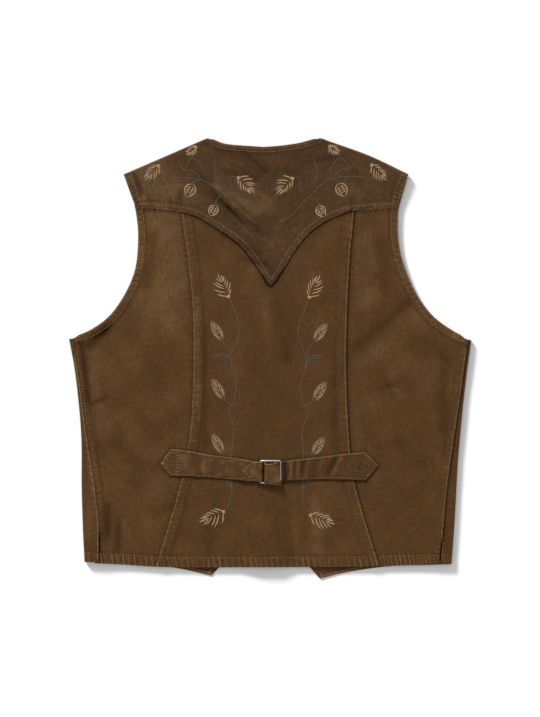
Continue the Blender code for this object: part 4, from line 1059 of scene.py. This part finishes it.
YOKE_VINES = [
    [(-133, 244.5), (-111, 244.5), (-92.5, 241.5), (-72, 230), (-58, 221), (-45.5, 207), (-33, 194),
     (-19, 182.5)],
    [(-92.5, 241.5), (-103.5, 253.5), (-116.5, 255.5), (-125.5, 267.5)],
    [(-116.5, 255.5), (-105.5, 272), (-92.5, 260), (-88, 249)], [(-74.5, 269.5), (-76, 252), (-71, 238)],
    [(-109, 236.5), (-101, 240.5), (-92.5, 241.5)], [(-42.5, 246), (-52.5, 246.5), (-53, 226)],
    [(-76, 207), (-72, 216), (-66, 226)],
    [(127, 246), (103, 246.5), (84, 243), (70, 236), (56, 222), (40, 206), (28, 193), (11, 184)],
    [(84, 243), (95, 255), (108, 257), (117, 268)], [(108, 257), (97, 272), (84, 262), (80, 250)],
    [(60, 271), (64, 252), (60, 236)], [(97.5, 237), (91, 241), (84, 243)],
    [(29.5, 244.5), (39, 245.5), (41, 226)], [(68, 207), (62, 216), (50, 216)],
]


def embroidery():
    """The motifs and vines on the middle panel and on the yoke."""
    center, yoke = center_piece.top, yoke_piece.top
    fine = {"width": VINE_THREAD, "lift": VINE_LIFT}
    for name, surface, sprigs, leaves, buds, vines in (
            ("center", center, SPRIGS, LEAVES, [], VINES),
            ("yoke", yoke, YOKE_SPRIGS, [], YOKE_BUDS, YOKE_VINES)):
        motifs = [sprig(*place, seed) for seed, place in enumerate(sprigs)]
        motifs += [leaf(*place) for place in leaves] + [bud(*place) for place in buds]
        pale = [(surface, plan, wide) for strokes_made, _ in motifs for plan, wide in strokes_made]
        strokes(f"embroidery_pale_{name}", pale, "pale_thread")
        dark = vines + [plan for _, lines in motifs for plan in lines]
        rows = [row_of(surface, Line(plan, 6), 0.0, pitch=VINE_PITCH, length=VINE_PITCH * 0.96, seed=k)
                for k, plan in enumerate(dark)]
        sew(f"embroidery_dark_{name}", rows, "dark_thread", **fine)
    fills, edges = [], []
    for base, tip in SMALL_LEAVES:
        length, angle = length_and_angle(base, tip)
        way = 1 if tip[0] > 0 else -1
        for bow in (0.30, 0.02):
            shape = ((0.0, 0.0), (0.35, bow), (0.72, 0.8 * bow), (1.0, 0.0))
            curve = [(u * length, v * length) for u, v in shape]
            edge = Line(turned(base, angle, curve, way), 6)
            edges.append(row_of(center, edge, 0.0, pitch=2.0, length=1.95))
        vein = [(u * length, v * length) for u, v in ((0.16, 0.05), (0.5, 0.16), (0.88, 0.06))]
        fills.append((center, turned(base, angle, vein, way), 0.13 * length))
    sew("embroidery_small_edges", edges, "dark_thread", **fine)
    strokes("embroidery_small_leaves", fills, "leaf_thread", height=0.3)


# The waist strap

# Each row is x, then y of the upper edge and of the lower one
STRAP_LEFT = [
    (-148.8, -143.3, -143.9), (-135.2, -123.6, -159.8), (-110, -126.6, -160.2), (-77, -132.7, -162.4),
    (-40, -137.2, -165.6), (-24, -140.2, -167.2), (-10, -141.6, -167.6),
]
STRAP_RIGHT = [
    (145.7, -146, -146.6), (129.8, -128.2, -166.4), (103, -130.2, -164.8), (65, -135, -164.6),
    (26, -139, -166), (16, -141.6, -167.6), (-9, -141.6, -167.6),
]
# Creases across the straps, as in the tables above
STRAP_CREASES_LEFT = [
    (-104, -128, -98, -160, 3, -0.4), (-92, -130, -90, -160, 3, 0.4), (-72, -134, -78, -160, 3.5, -0.35),
    (-54, -138, -58, -162, 3, 0.3), (-44, -138, -42, -164, 2.5, -0.3),
]
STRAP_CREASES_RIGHT = [
    (19.5, -142, 20.5, -166, 3.4, -0.6), (28, -142, 28, -164, 2.6, 0.65), (33.5, -141, 32, -164, 2.2, -0.8),
    (38.5, -141, 37, -164, 2.4, 0.6), (44.5, -140, 42, -158, 2.6, -0.95), (52, -139, 48, -162, 3.4, 0.45),
    (62, -138, 57, -162, 3, -0.35), (74, -136, 66, -152, 3, 0.35), (90, -134, 78, -156, 2.8, -1.15),
    (96, -135, 85, -158, 3, 0.6),
]
STRAP, STRAP_CLEAR = 1.6, 0.5  # its thickness, and its height above the cloth
STRAP_STEP = 1.5
STRAP_ROW = 2.0  # of stitching, from the edges
STRAP_RETURN, STRAP_TAIL = 23.0, 11.6  # how far each end runs back under the strap, past the buckle
BUCKLE_LEFT, BUCKLE_RIGHT = -13.1, 14.2
BUCKLE_UPPER, BUCKLE_LOWER = -139.6, -169.6
BUCKLE_BAR, BUCKLE_WIRE, BUCKLE_CORNER = 1.2, 1.0, 1.6
WRAP = 2.1  # radius of the strap's middle round a bar
BUCKLE_RISE = STRAP / 2 + WRAP
BUCKLE_LEVEL = (26, 60)  # the strap lies level up to here, and follows the cloth from there
# The strap's rise over the buckle's frame: x and height
TO_CROWN = ((16.6, 0), (15.4, 0), (14.2, 0), (12.6, 0.1), (10, 1.1), (6.6, 2.9))
TONGUE_UPPER, TONGUE_LOWER, TONGUE_SLOPE = -143.8, -170.4, 0.12
SEAM_BAND, SEAM_RAISE = 8.0, 0.9


def strap_edge_shade():
    """Painted shade in the cloth along the strap's edges."""
    rows = []
    for table, tip in ((STRAP_LEFT, -3.0), (STRAP_RIGHT, 3.0)):
        for (x0, upper0, lower0), (x1, upper1, lower1) in zip(table, table[1:]):
            x0 = x0 + tip * (upper0 - lower0 < 2)
            rows.append((x0, upper0 + 1.0, x1, upper1 + 1.0, 1.7, -0.9))
            rows.append((x0, lower0 - 1.2, x1, lower1 - 1.2, 2.0, -0.9))
    return rows


STRAP_EDGE_SHADE = strap_edge_shade()


def cloth_top(x, y):
    """Top of the back's cloth where the strap crosses it."""
    proud = np.zeros_like(x)
    for seam, side in ((panel_left_x(y), 1), (panel_right_x(y), -1)):
        inside = (x - seam) * side
        raised = SEAM_RAISE * ramp(inside, SEAM_BAND + 4, SEAM_BAND + RAMP + 4)
        proud = np.maximum(proud, np.where(inside > -2, raised, 0))
    return under(x, y) + CLOTH + proud


def strap_base(x, upper, lower):
    """Height of what the strap lies on: level by the buckle, and the highest cloth under it elsewhere."""
    def highest(at):
        near = at[..., None, None] + np.array([-6.0, -3.0, 0.0, 3.0, 6.0])[:, None]
        share = np.linspace(0, 1, 5)
        edge = (slice(None),) + (None,) * (near.ndim - 1)
        across = upper[edge] + (lower - upper)[edge] * share
        return cloth_top(*np.broadcast_arrays(near, across)).max(axis=(-1, -2))

    level = highest(np.broadcast_to(np.arange(-24.0, 25.0, 6.0), (len(x), 9))).max(axis=1)
    here = highest(x)
    share = ease(np.abs(x), *BUCKLE_LEVEL)
    return STRAP_CLEAR + np.maximum(here, share * level + (1 - share) * here)


def around_bar(bar_x, start, end):
    angles = [math.radians(start + (end - start) * k / 10) for k in range(11)]
    return [(bar_x + WRAP * math.cos(a), BUCKLE_RISE + WRAP * math.sin(a)) for a in angles]


def strap_path_left():
    flat = STRAP / 2
    doubled = flat + STRAP + LAYER_GAP
    turn = BUCKLE_LEFT - STRAP_RETURN
    path = [(x, flat) for x in (STRAP_LEFT[0][0], *np.arange(-146.5, -59.0, STRAP_STEP))]
    path += [(turn - 12, flat), (turn - 7, flat + 0.5), (turn - 2, doubled), (turn + 6, doubled)]
    path += [(BUCKLE_LEFT - 8, doubled + 0.3), (BUCKLE_LEFT - 4, doubled + 1.5)]
    path += around_bar(BUCKLE_LEFT, 90, -90)
    return path + [(BUCKLE_LEFT - 8.0, flat), (BUCKLE_LEFT - 16.0, flat), (turn, flat)]


def strap_path_right():
    flat = STRAP / 2
    crown = BUCKLE_RISE + WRAP
    turn = BUCKLE_BAR - 6.3
    path = [(x, flat) for x in (STRAP_RIGHT[0][0], *np.arange(143.5, 17.0, -STRAP_STEP))]
    path += [(x, flat + up) for x, up in TO_CROWN] + [(4.0, crown - 0.3), (BUCKLE_BAR, crown)]
    path += [(turn + 3.0, crown)] + around_bar(turn, 90, 270)
    return path + [(turn + STRAP_TAIL / 2, flat), (turn + STRAP_TAIL, flat)]


# Where the strap's mesh has lines, as shares of its width
ACROSS = np.array([0.0, 0.012, 0.035, 0.06, 0.09, 0.14, 0.2, 0.32, 0.5, 0.68, 0.8, 0.86, 0.91, 0.94, 0.965,
                   0.988, 1.0])


def strap(side, table, path, creases, fade, tongue=False):
    """A strap along a path of (x, height above what it lies on), as wide as its table says.

    A tongue covers the buckle's lower bar. Returns the piece, its path's x, its top there, and its edges.
    """
    order = np.argsort([row[0] for row in table])
    xs, uppers, lowers = (np.array([row[k] for row in table])[order] for k in (0, 1, 2))
    x, rise = np.array(path).T
    upper, lower = np.interp(x, xs, uppers), np.interp(x, xs, lowers)
    z = strap_base(x, upper, lower) + rise
    over = np.zeros((len(x), len(ACROSS)))
    if tongue:
        first = np.arange(len(x)) <= int(np.argmin(x))
        on_bar = ramp(x, BUCKLE_RIGHT + 1.4, BUCKLE_RIGHT + 3.4) * ramp(-x, 9.0, 12.0) * first
        over = ((BUCKLE_RISE + WRAP - rise) * on_bar)[:, None] * ramp(-ACROSS, -0.84, -0.72)
        crown = ramp(-rise, -BUCKLE_RISE - 1.6, -BUCKLE_RISE - 0.6)
        upper = upper + (TONGUE_UPPER - upper) * crown
        lower = lower + (TONGUE_LOWER - TONGUE_SLOPE * (x + 8.0) - lower) * np.maximum(on_bar, crown * first)
    across = np.gradient(np.column_stack([x, z]), axis=0)
    across /= np.linalg.norm(across, axis=1)[:, None]
    normal = np.column_stack([-across[:, 1], across[:, 0]])
    plan_y = upper[:, None] + (lower - upper)[:, None] * ACROSS
    width = np.maximum((upper - lower)[:, None], 0.5)
    edge = np.minimum(ACROSS, 1 - ACROSS) * width
    half = STRAP / 2 - 0.55 * np.clip(1 - edge, 0, 1) ** 2
    plan_x = np.broadcast_to(x[:, None], plan_y.shape)
    run = np.cumsum(np.hypot(np.gradient(x), np.gradient(z)))[:, None]
    rough = 0.16 * rumple(plan_x, plan_y, 16, len(path))
    rough = rough + 0.10 * ripple(run + 0.4 * edge, 7.0, 5) * ramp(edge, 1, 6)
    rough += folded(plan_x, plan_y, creases)
    rough -= 0.22 * bell(edge - STRAP_ROW, 0.9)
    rough = rough * np.clip(edge / 1.2, 0, 1)
    right, wrong = (
        np.dstack([x[:, None] + normal[:, :1] * lift, plan_y, z[:, None] + over + normal[:, 1:] * lift])
        for lift in (half + rough, -half))
    # Pale worn edges, painted shade along the rows of stitching, and painted light and shade on the strap's
    # wrinkles
    wear = fade + 2.0 * bell(edge, 0.8) - 0.7 * bell(edge - STRAP_ROW, 1.0) + 1.4 * rough
    made = shell(f"cloth_strap_{side}", [(right, wrong, wear)], "canvas")
    return made, x, z + half[:, len(ACROSS) // 2], upper, lower


def strap_edges(x, top, upper, lower, count):
    """The surface of a strap's flat part, which is this many points long, and the rows along its edges."""
    flat = slice(1, count)
    order = np.argsort(x[flat])
    xs, tops, ups, lows = (v[flat][order] for v in (x, top, upper, lower))

    def surface(px, py):
        return np.interp(px, xs, tops) + 0.02

    rows = []
    for edge in (ups - STRAP_ROW, lows + STRAP_ROW):
        line = Line(np.column_stack([xs, edge])[::3], 3)
        rows.append(row_of(surface, line, 0.0, 4.0, line.length - 4.0, pitch=3.0, length=1.9, seed=4))
    return surface, rows


def strap_row(surface, points, steps=4, **how):
    return row_of(surface, Line(points, steps), 0.0, **how)


def strap_left():
    made, x, top, upper, lower = strap("left", STRAP_LEFT, strap_path_left(), STRAP_CREASES_LEFT, 0.1)
    surface, rows = strap_edges(x, top, upper, lower, int(np.argmax(x > -62.0)))
    rows.append(strap_row(surface, [(-134.0, -126.5), (-145.6, -143.6), (-134.5, -157.0)], 6))
    dense = []
    for k in range(3):
        x0, half = -142.0 + 4.6 * k, 14.0 - 4.2 * k
        arrow = [(-122.0 + 2.0 * k, -142.4 + half), (x0 + 7.0, -142.6 + half), (x0, -143.6),
                 (x0 + 7.0, -144.6 - half), (-122.0 + 2.0 * k, -145.0 - half)]
        dense += [strap_row(surface, ends, seed=k, **FINE_STITCH) for ends in zip(arrow, arrow[1:])]
    sew("stitching_strap_tab", dense, "topstitch", width=0.75)
    knots = []
    for k in range(6):
        y0, bow = -135.5 - 3.0 * k, abs(k - 2.5)
        ends = [(-128.0 + 0.8 * bow, y0), (-110.0 - 1.2 * bow, y0 - 1.6)]
        knots.append(strap_row(surface, ends, pitch=3.0, length=1.2, seed=k))
    for k in range(3):
        y0 = -142.9 - 0.5 * k
        knots.append(strap_row(surface, [(-147.4, y0), (-144.6, y0)], pitch=1.4, length=1.3))
    end = strap_surface(x, top)
    for ends in (((-36.5, -153.5), (-25.0, -142.5)), ((-36.5, -153.5), (-25.5, -164.5)),
                 ((-24.2, -142.0), (-24.8, -165.0)), ((-20.6, -142.0), (-21.2, -165.0))):
        knots.append(strap_row(end, ends, pitch=2.9, length=1.5))
    for way in (1, -1):
        points = [(-58.0, -151.2 + way * 12.2), (-40.0, -151.4 + way * 12.0), (-15.0, -154.3 + way * 11.2)]
        rows.append(strap_row(end, points, 6, pitch=2.8, length=2.1))
    sew("stitching_strap_knots", knots, "light_thread", width=1.15, lift=0.5)
    sew("stitching_strap_left", rows, "topstitch", width=0.7)
    return made


def strap_surface(x, top):
    """The highest of a strap's layers at each place."""
    places = np.arange(x.min(), x.max(), 0.5)
    heights = np.full(len(places), -1.0)
    for a, b, za, zb in zip(x, x[1:], top, top[1:]):
        span = (places >= min(a, b) - 0.3) & (places <= max(a, b) + 0.3)
        share = np.clip((places[span] - a) / (b - a if abs(b - a) > 1e-6 else 1e-6), 0, 1)
        heights[span] = np.maximum(heights[span], za + (zb - za) * share)
    return lambda px, py: np.interp(px, places, heights) + 0.02


def strap_right():
    path = strap_path_right()
    path_x = np.array(path)[:, :1]
    # Painted light on the tongue over the buckle, and painted shadow on the strap just right of the buckle;
    # the rest of the strap is shifted darker
    fade = np.where(path_x > 13, -0.35 - 1.0 * bell(path_x - 19, 3.4), 0.3)
    made, x, top, upper, lower = strap("right", STRAP_RIGHT, path, STRAP_CREASES_RIGHT, fade, True)
    surface, rows = strap_edges(x, top, upper, lower, int(np.argmax(x < 19.0)))
    rows.append(strap_row(surface, [(129.0, -131.0), (142.6, -146.4), (129.0, -163.5)], 6))
    tongue_end = [(-3.0, -145.0), (4.0, -144.6)]
    rows.append(strap_row(strap_surface(x, top), tongue_end, pitch=2.6, length=2.0))
    sew("stitching_strap_right", rows, "topstitch", width=0.7)
    ring = [(121.5 + 13.0 * math.cos(a), -147.6 + 7.0 * math.sin(a)) for a in np.linspace(0, math.tau, 17)]
    grey = [strap_row(surface, ring, pitch=2.4, length=2.2)]
    for across in (-1.5, 1.5):
        ends = [(106.0 + across, -142.0), (106.0 - across, -151.0)]
        grey.append(strap_row(surface, ends, pitch=1.7, length=1.5))
    sew("stitching_strap_ring", grey, "dark_thread", width=0.7)
    return made


# The wire's radius from one side of each corner to the other, beginning at the right
WIRE = ((0.72, 1.15), (1.15, 0.95), (0.95, 0.95), (0.95, 0.72))
BAR_RADIUS = 0.9


def buckle():
    """The wire frame and its middle bar, finer than the solid."""
    across = (np.array([v]) for v in (0.0, BUCKLE_UPPER, BUCKLE_LOWER))
    base = float(strap_base(*across)[0]) + BUCKLE_RISE
    corners = [(BUCKLE_RIGHT, BUCKLE_UPPER, -1, -1, 0), (BUCKLE_LEFT, BUCKLE_UPPER, 1, -1, 90),
               (BUCKLE_LEFT, BUCKLE_LOWER, 1, 1, 180), (BUCKLE_RIGHT, BUCKLE_LOWER, -1, 1, 270)]
    loop = []
    for x, y, in_x, in_y, start in corners:
        for k in range(9):
            a = math.radians(start + 90 * k / 8)
            loop.append((x + in_x * BUCKLE_CORNER + BUCKLE_CORNER * math.cos(a),
                         y + in_y * BUCKLE_CORNER + BUCKLE_CORNER * math.sin(a), base,
                         blend(*WIRE[start // 90], k, 0, 8)))
    bar = [(BUCKLE_BAR, y, base, BAR_RADIUS) for y in (BUCKLE_UPPER, BUCKLE_UPPER - 1.1, BUCKLE_LOWER)]
    curve = bpy.data.curves.new("buckle_wire", "CURVE")
    curve.dimensions = "3D"
    curve.bevel_depth = BUCKLE_WIRE * MM
    curve.bevel_resolution = 6
    curve.use_fill_caps = True
    for points, closed in ((loop, True), (bar, False)):
        spline = curve.splines.new("POLY")
        spline.points.add(len(points) - 1)
        for target, (*place, radius) in zip(spline.points, points):
            target.co = (*[v * MM for v in place], 1.0)
            target.radius = radius
        spline.use_cyclic_u = closed
    guide = bpy.data.objects.new("buckle_wire", curve)
    mesh = bpy.data.meshes.new_from_object(guide)
    bpy.data.objects.remove(guide)
    mesh.name = "buckle_frame"
    points = np.array([v.co for v in mesh.vertices]) / MM
    # Painted shade on the middle bar, inside the frame under the strap's tongue
    shaded_bar = (np.abs(points[:, 0] - BUCKLE_BAR) < 2.0) & (points[:, 1] < BUCKLE_UPPER - BUCKLE_WIRE)
    return riding(mesh, "nickel", "shelter", 0.9 * shaded_bar)


# Finishes

class Link:
    """A node's output that takes part in arithmetic: an expression on it adds its Math nodes."""

    def __init__(self, finish, socket):
        self.finish = finish
        self.socket = socket

    def with_(self, operation, *values, **settings):
        return self.finish.node("ShaderNodeMath", {"operation": operation, **settings},
                                **dict(zip(("Value", "Value_001", "Value_002"), values)))

    def __add__(self, other):
        return self.with_("ADD", self, other)

    def __sub__(self, other):
        return self.with_("SUBTRACT", self, other)

    def __rsub__(self, other):
        return self.with_("SUBTRACT", other, self)

    def __mul__(self, other):
        return self.with_("MULTIPLY", self, other)

    def __truediv__(self, other):
        return self.with_("DIVIDE", self, other)

    def clamped(self):
        return self.with_("ADD", self, 0.0, use_clamp=True)

    def sine(self):
        return self.with_("SINE", self)

    __radd__ = __add__
    __rmul__ = __mul__


class Finish:
    """A material under construction."""

    def __init__(self, name, roughness, **constants):
        self.material = bpy.data.materials.new(name)
        self.material.use_nodes = True
        self.tree = self.material.node_tree
        self.shader = self.tree.nodes["Principled BSDF"]
        self.shader.inputs["Roughness"].default_value = roughness
        for key, value in constants.items():
            self.shader.inputs[key.replace("_", " ")].default_value = value
        self.place = self.node("ShaderNodeTexCoord", {}, "Object")

    def node(self, kind, settings=None, output=0, **values):
        made = self.tree.nodes.new(kind)
        for key, value in (settings or {}).items():
            setattr(made, key, value)
        for key, value in values.items():
            socket = next(s for s in made.inputs if key in (s.identifier, s.name.replace(" ", "_")))
            self.feed(socket, value)
        if isinstance(output, str):
            output = next(k for k, s in enumerate(made.outputs) if output in (s.identifier, s.name))
        return Link(self, made.outputs[output])

    def feed(self, socket, value):
        if isinstance(value, Link):
            self.tree.links.new(value.socket, socket)
        elif isinstance(value, tuple) and len(value) == 3 and socket.type == "RGBA":
            socket.default_value = (*value, 1.0)
        else:
            socket.default_value = value

    def noise(self, scale, stretch=(1.0, 1.0, 1.0), detail=2.0, roughness=0.5):
        """Noise whose grains are 1/scale metres, drawn out where stretch is small."""
        place = self.node("ShaderNodeMapping", {}, Vector=self.place, Scale=stretch)
        return self.node("ShaderNodeTexNoise", {}, "Fac", Vector=place, Scale=scale, Detail=detail,
                         Roughness=roughness)

    def number(self, name):
        """The number that each point of the piece carries under this name."""
        return self.node("ShaderNodeAttribute", {"attribute_name": name}, "Fac")

    def mix(self, share, a, b, how="MIX"):
        return self.node("ShaderNodeMix", {"data_type": "RGBA", "blend_type": how}, "Result_Color",
                         Factor_Float=share, A_Color=a, B_Color=b)

    def lit(self, colour, light):
        """The colour, brighter or darker by this much at each point."""
        return self.node("ShaderNodeVectorMath", {"operation": "SCALE"}, "Vector", Vector=colour, Scale=light)

    def bump(self, height, strength, distance):
        return self.node("ShaderNodeBump", {}, "Normal", Strength=strength, Distance=distance, Height=height)

    def use(self, **fed):
        for key, value in fed.items():
            self.feed(self.shader.inputs[key.replace("_", " ")], value)
        return self.material


def scaled(colour, by):
    return tuple(c * by for c in colour)


def canvas_finish(name, colour, fade, mottled):
    """Washed cotton canvas: slubby yarn, soft fading, pale worn edges, painted light on ridges and puckers,
    and painted shade in grooves and creases.
    """
    it = Finish(name, 0.95, Specular_IOR_Level=0.12)
    warp = it.noise(900.0, (1.0, 0.13, 1.0), 2.0, 0.55)
    weft = it.noise(900.0, (0.11, 1.0, 1.0), 2.0, 0.55)
    yarn = it.noise(1300.0, detail=2.0)
    cloud = it.noise(9.0, detail=2.0, roughness=0.5)
    patch = it.noise(50.0, (1.0, 0.6, 1.0), 3.0, 0.5)
    crumple = it.noise(190.0, (1.0, 0.8, 1.0), 3.0, 0.6)
    slub = warp * 0.62 + weft * 0.38
    wear = it.number("wear")
    light = 1.0 + (slub - 0.5) * 1.5 + (yarn - 0.5) * 0.9
    light = light + (cloud - 0.5) * fade + (patch - 0.5) * 0.35 + (crumple - 0.5) * mottled
    # The pale mix carries worn edges and painted light; the dark mix, toward a shaded copy of the cloth's
    # colour, carries painted shade
    paling = (wear * (slub * 1.4 + 0.3) * 0.42).clamped()
    shade_and_dark_tone = (wear * -0.38).clamped()
    body = it.mix(paling, colour, WORN_AND_LIT)
    body = it.mix(shade_and_dark_tone, body, scaled(colour, 0.13))
    weave = it.noise(1500.0, (1.0, 0.22, 1.0), 1.0) + it.noise(1500.0, (0.22, 1.0, 1.0), 1.0)
    height = weave * 0.5 + slub * 0.5 + yarn * 0.3 + crumple * mottled * 2.0
    return it.use(Base_Color=it.lit(body, light), Normal=it.bump(height, 0.55, 0.00028))


def thread_finish(name, colour, gloss=0.6, uneven=0.5):
    """Twisted sewing thread."""
    it = Finish(name, gloss, Specular_IOR_Level=0.25)
    twist = it.number("twist")
    ply = (twist * (math.tau * 1.6)).sine() * 0.5 + 0.5
    blotch = it.noise(260.0, detail=2.0)
    light = 0.86 + ply * 0.24 + (blotch - 0.5) * uneven
    return it.use(Base_Color=it.lit(colour, light), Normal=it.bump(ply, 0.5, 0.00015))


def nickel_finish():
    """Nickel plate, dulled and finely scratched, with painted shade on its middle bar."""
    it = Finish("worn_nickel", 0.3, Metallic=1.0)
    dull = it.noise(420.0, detail=4.0, roughness=0.65)
    scratch = it.noise(900.0, (1.0, 0.06, 1.0), 2.0)
    tone = it.mix(dull, (0.66, 0.69, 0.71), (0.34, 0.36, 0.38))
    # Painted shade on the middle bar
    tone = it.mix(it.number("shelter"), tone, (0.05, 0.045, 0.04))
    return it.use(Base_Color=tone, Roughness=0.22 + dull * 0.25, Normal=it.bump(scratch, 0.2, 0.0001))


def horn_finish():
    """Dark mottled button."""
    it = Finish("dark_horn", 0.35)
    swirl = it.noise(160.0, (1.0, 0.4, 1.0), 5.0, 0.6)
    tone = it.mix(swirl, (0.030, 0.016, 0.008), (0.105, 0.058, 0.028))
    return it.use(Base_Color=tone, Roughness=0.3 + swirl * 0.2)


# Dyed cotton, and the pale colour for its worn places and painted light, as linear colours
BROWN = (0.0810, 0.0375, 0.0118)
YOKE_BROWN = (0.0690, 0.0345, 0.0135)
WORN_AND_LIT = (0.235, 0.142, 0.066)
finishes = {
    "canvas": canvas_finish("washed_canvas", BROWN, 0.14, 0.2),
    "yoke_canvas": canvas_finish("yoke_washed_canvas", YOKE_BROWN, 0.2, 0.75),
    "topstitch": thread_finish("olive_thread", (0.270, 0.172, 0.080)),
    # A darker copy of the olive thread: painted shade on the sunk inner rows
    "sunk_thread": thread_finish("brown_thread", (0.125, 0.074, 0.034)),
    "light_thread": thread_finish("straw_thread", (0.34, 0.24, 0.125)),
    "pale_thread": thread_finish("tan_thread", (0.40, 0.250, 0.128), 0.55, 0.6),
    "leaf_thread": thread_finish("dark_leaf_thread", (0.048, 0.047, 0.033), 0.6, 0.3),
    "dark_thread": thread_finish("grey_green_thread", (0.108, 0.102, 0.066), 0.6, 0.3),
    "nickel": nickel_finish(),
    "horn": horn_finish(),
}


# The floor, the light and the camera

PICTURE_HIGH = 717  # pixels
MM_PER_PIXEL = 1.36
LENS, SENSOR = 200.0, 36.0
CAMERA_X, CAMERA_Y, CAMERA_ABOVE = -0.00027, -0.00054, 0.005  # of the vest's middle, and above its back
ROOM_LIGHT = 0.57
# Each lamp's elevation, azimuth, strength and width: one lights the vest, the other the floor's shadow
VEST_LAMP = (27.0, 108.0, 3.5, 11.0)
FLOOR_LAMP = (17.0, 126.0, 6.6, 13.0)


def studio():
    """A plain pale floor in a soft white room, with one lamp for the vest and one for its shadow."""
    bpy.ops.mesh.primitive_plane_add(size=12.0, location=(0, 0, -0.0002))
    floor = bpy.context.object
    floor.name = "floor"
    it = Finish("white_floor", 0.9, Specular_IOR_Level=0.2)
    shade = it.noise(3.0)
    floor.data.materials.append(it.use(Base_Color=it.mix(shade, (0.95, 0.95, 0.95), (0.96, 0.96, 0.96))))
    world = bpy.data.worlds.new("soft_room")
    bpy.context.scene.world = world
    world.use_nodes = True
    background = world.node_tree.nodes["Background"]
    background.inputs["Color"].default_value = (1.0, 1.0, 1.0, 1.0)
    background.inputs["Strength"].default_value = ROOM_LIGHT
    on_cloth = bpy.data.collections.new("lit_vest")
    on_floor = bpy.data.collections.new("lit_floor")
    for thing in bpy.data.objects:
        if thing.type == "MESH":
            (on_floor if thing == floor else on_cloth).objects.link(thing)
    for name, (elevation, azimuth, strength, spread), receivers in (
            ("key", VEST_LAMP, on_cloth), ("floor_key", FLOOR_LAMP, on_floor)):
        lamp = bpy.data.lights.new(name, "SUN")
        lamp.energy = strength
        lamp.angle = math.radians(spread)
        light = bpy.data.objects.new(name, lamp)
        bpy.context.scene.collection.objects.link(light)
        up, round_ = math.radians(elevation), math.radians(azimuth)
        towards = Vector((math.cos(up) * math.cos(round_), math.cos(up) * math.sin(round_), math.sin(up)))
        light.rotation_mode = "QUATERNION"
        light.rotation_quaternion = towards.to_track_quat("Z", "Y")
        light.location = towards * 3
        light.light_linking.receiver_collection = receivers
    bpy.context.scene.view_settings.view_transform = "Standard"


def camera():
    """The photo's view, straight down."""
    lens = bpy.data.cameras.new("camera")
    lens.lens = LENS
    lens.sensor_width = SENSOR
    lens.clip_end = 50.0
    made = bpy.data.objects.new("camera", lens)
    bpy.context.scene.collection.objects.link(made)
    distance = PICTURE_HIGH * MM_PER_PIXEL * MM * LENS / SENSOR
    made.location = (CAMERA_X, CAMERA_Y, distance + CAMERA_ABOVE)
    bpy.context.scene.camera = made


def dress():
    """Makes every piece, hides the solid that each stands for, and gives the buttons their finish."""
    middle = back_center()
    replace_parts(middle, "back_center")
    for side, *shape in (("left", panel_left, armhole_left, seam_left, -1),
                         ("right", panel_right, armhole_right, seam_right, 1)):
        made = back_side(side, *shape)
        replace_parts(made, f"back_side_{side}")
    yoke = back_yoke()
    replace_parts(yoke, "back_yoke")
    for side, *shape in (
            ("left", -1, FRONT_ARMHOLE_LEFT, FRONT_NECK_LEFT, SIDE_LEFT, SIDE_SEAM_LEFT, FRONT_HEM_LEFT,
             closure_lift),
            ("right", 1, FRONT_ARMHOLE_RIGHT, FRONT_NECK_RIGHT, SIDE_RIGHT, SIDE_SEAM_RIGHT, FRONT_HEM_RIGHT,
             lambda x, y: closure_lift(x, y) + upper_front_lift(x, y))):
        made = front(side, *shape)
        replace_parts(made, f"front_{side}")
    for make, side in ((strap_left, "left"), (strap_right, "right")):
        made = make()
        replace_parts(made, f"strap_{side}")
    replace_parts(buckle(), "buckle")
    for name, node in frame["nodes"].items():
        if name.startswith("button"):
            node.data.materials.clear()
            node.data.materials.append(finishes["horn"])
    topstitching()
    embroidery()


dress()
studio()
camera()
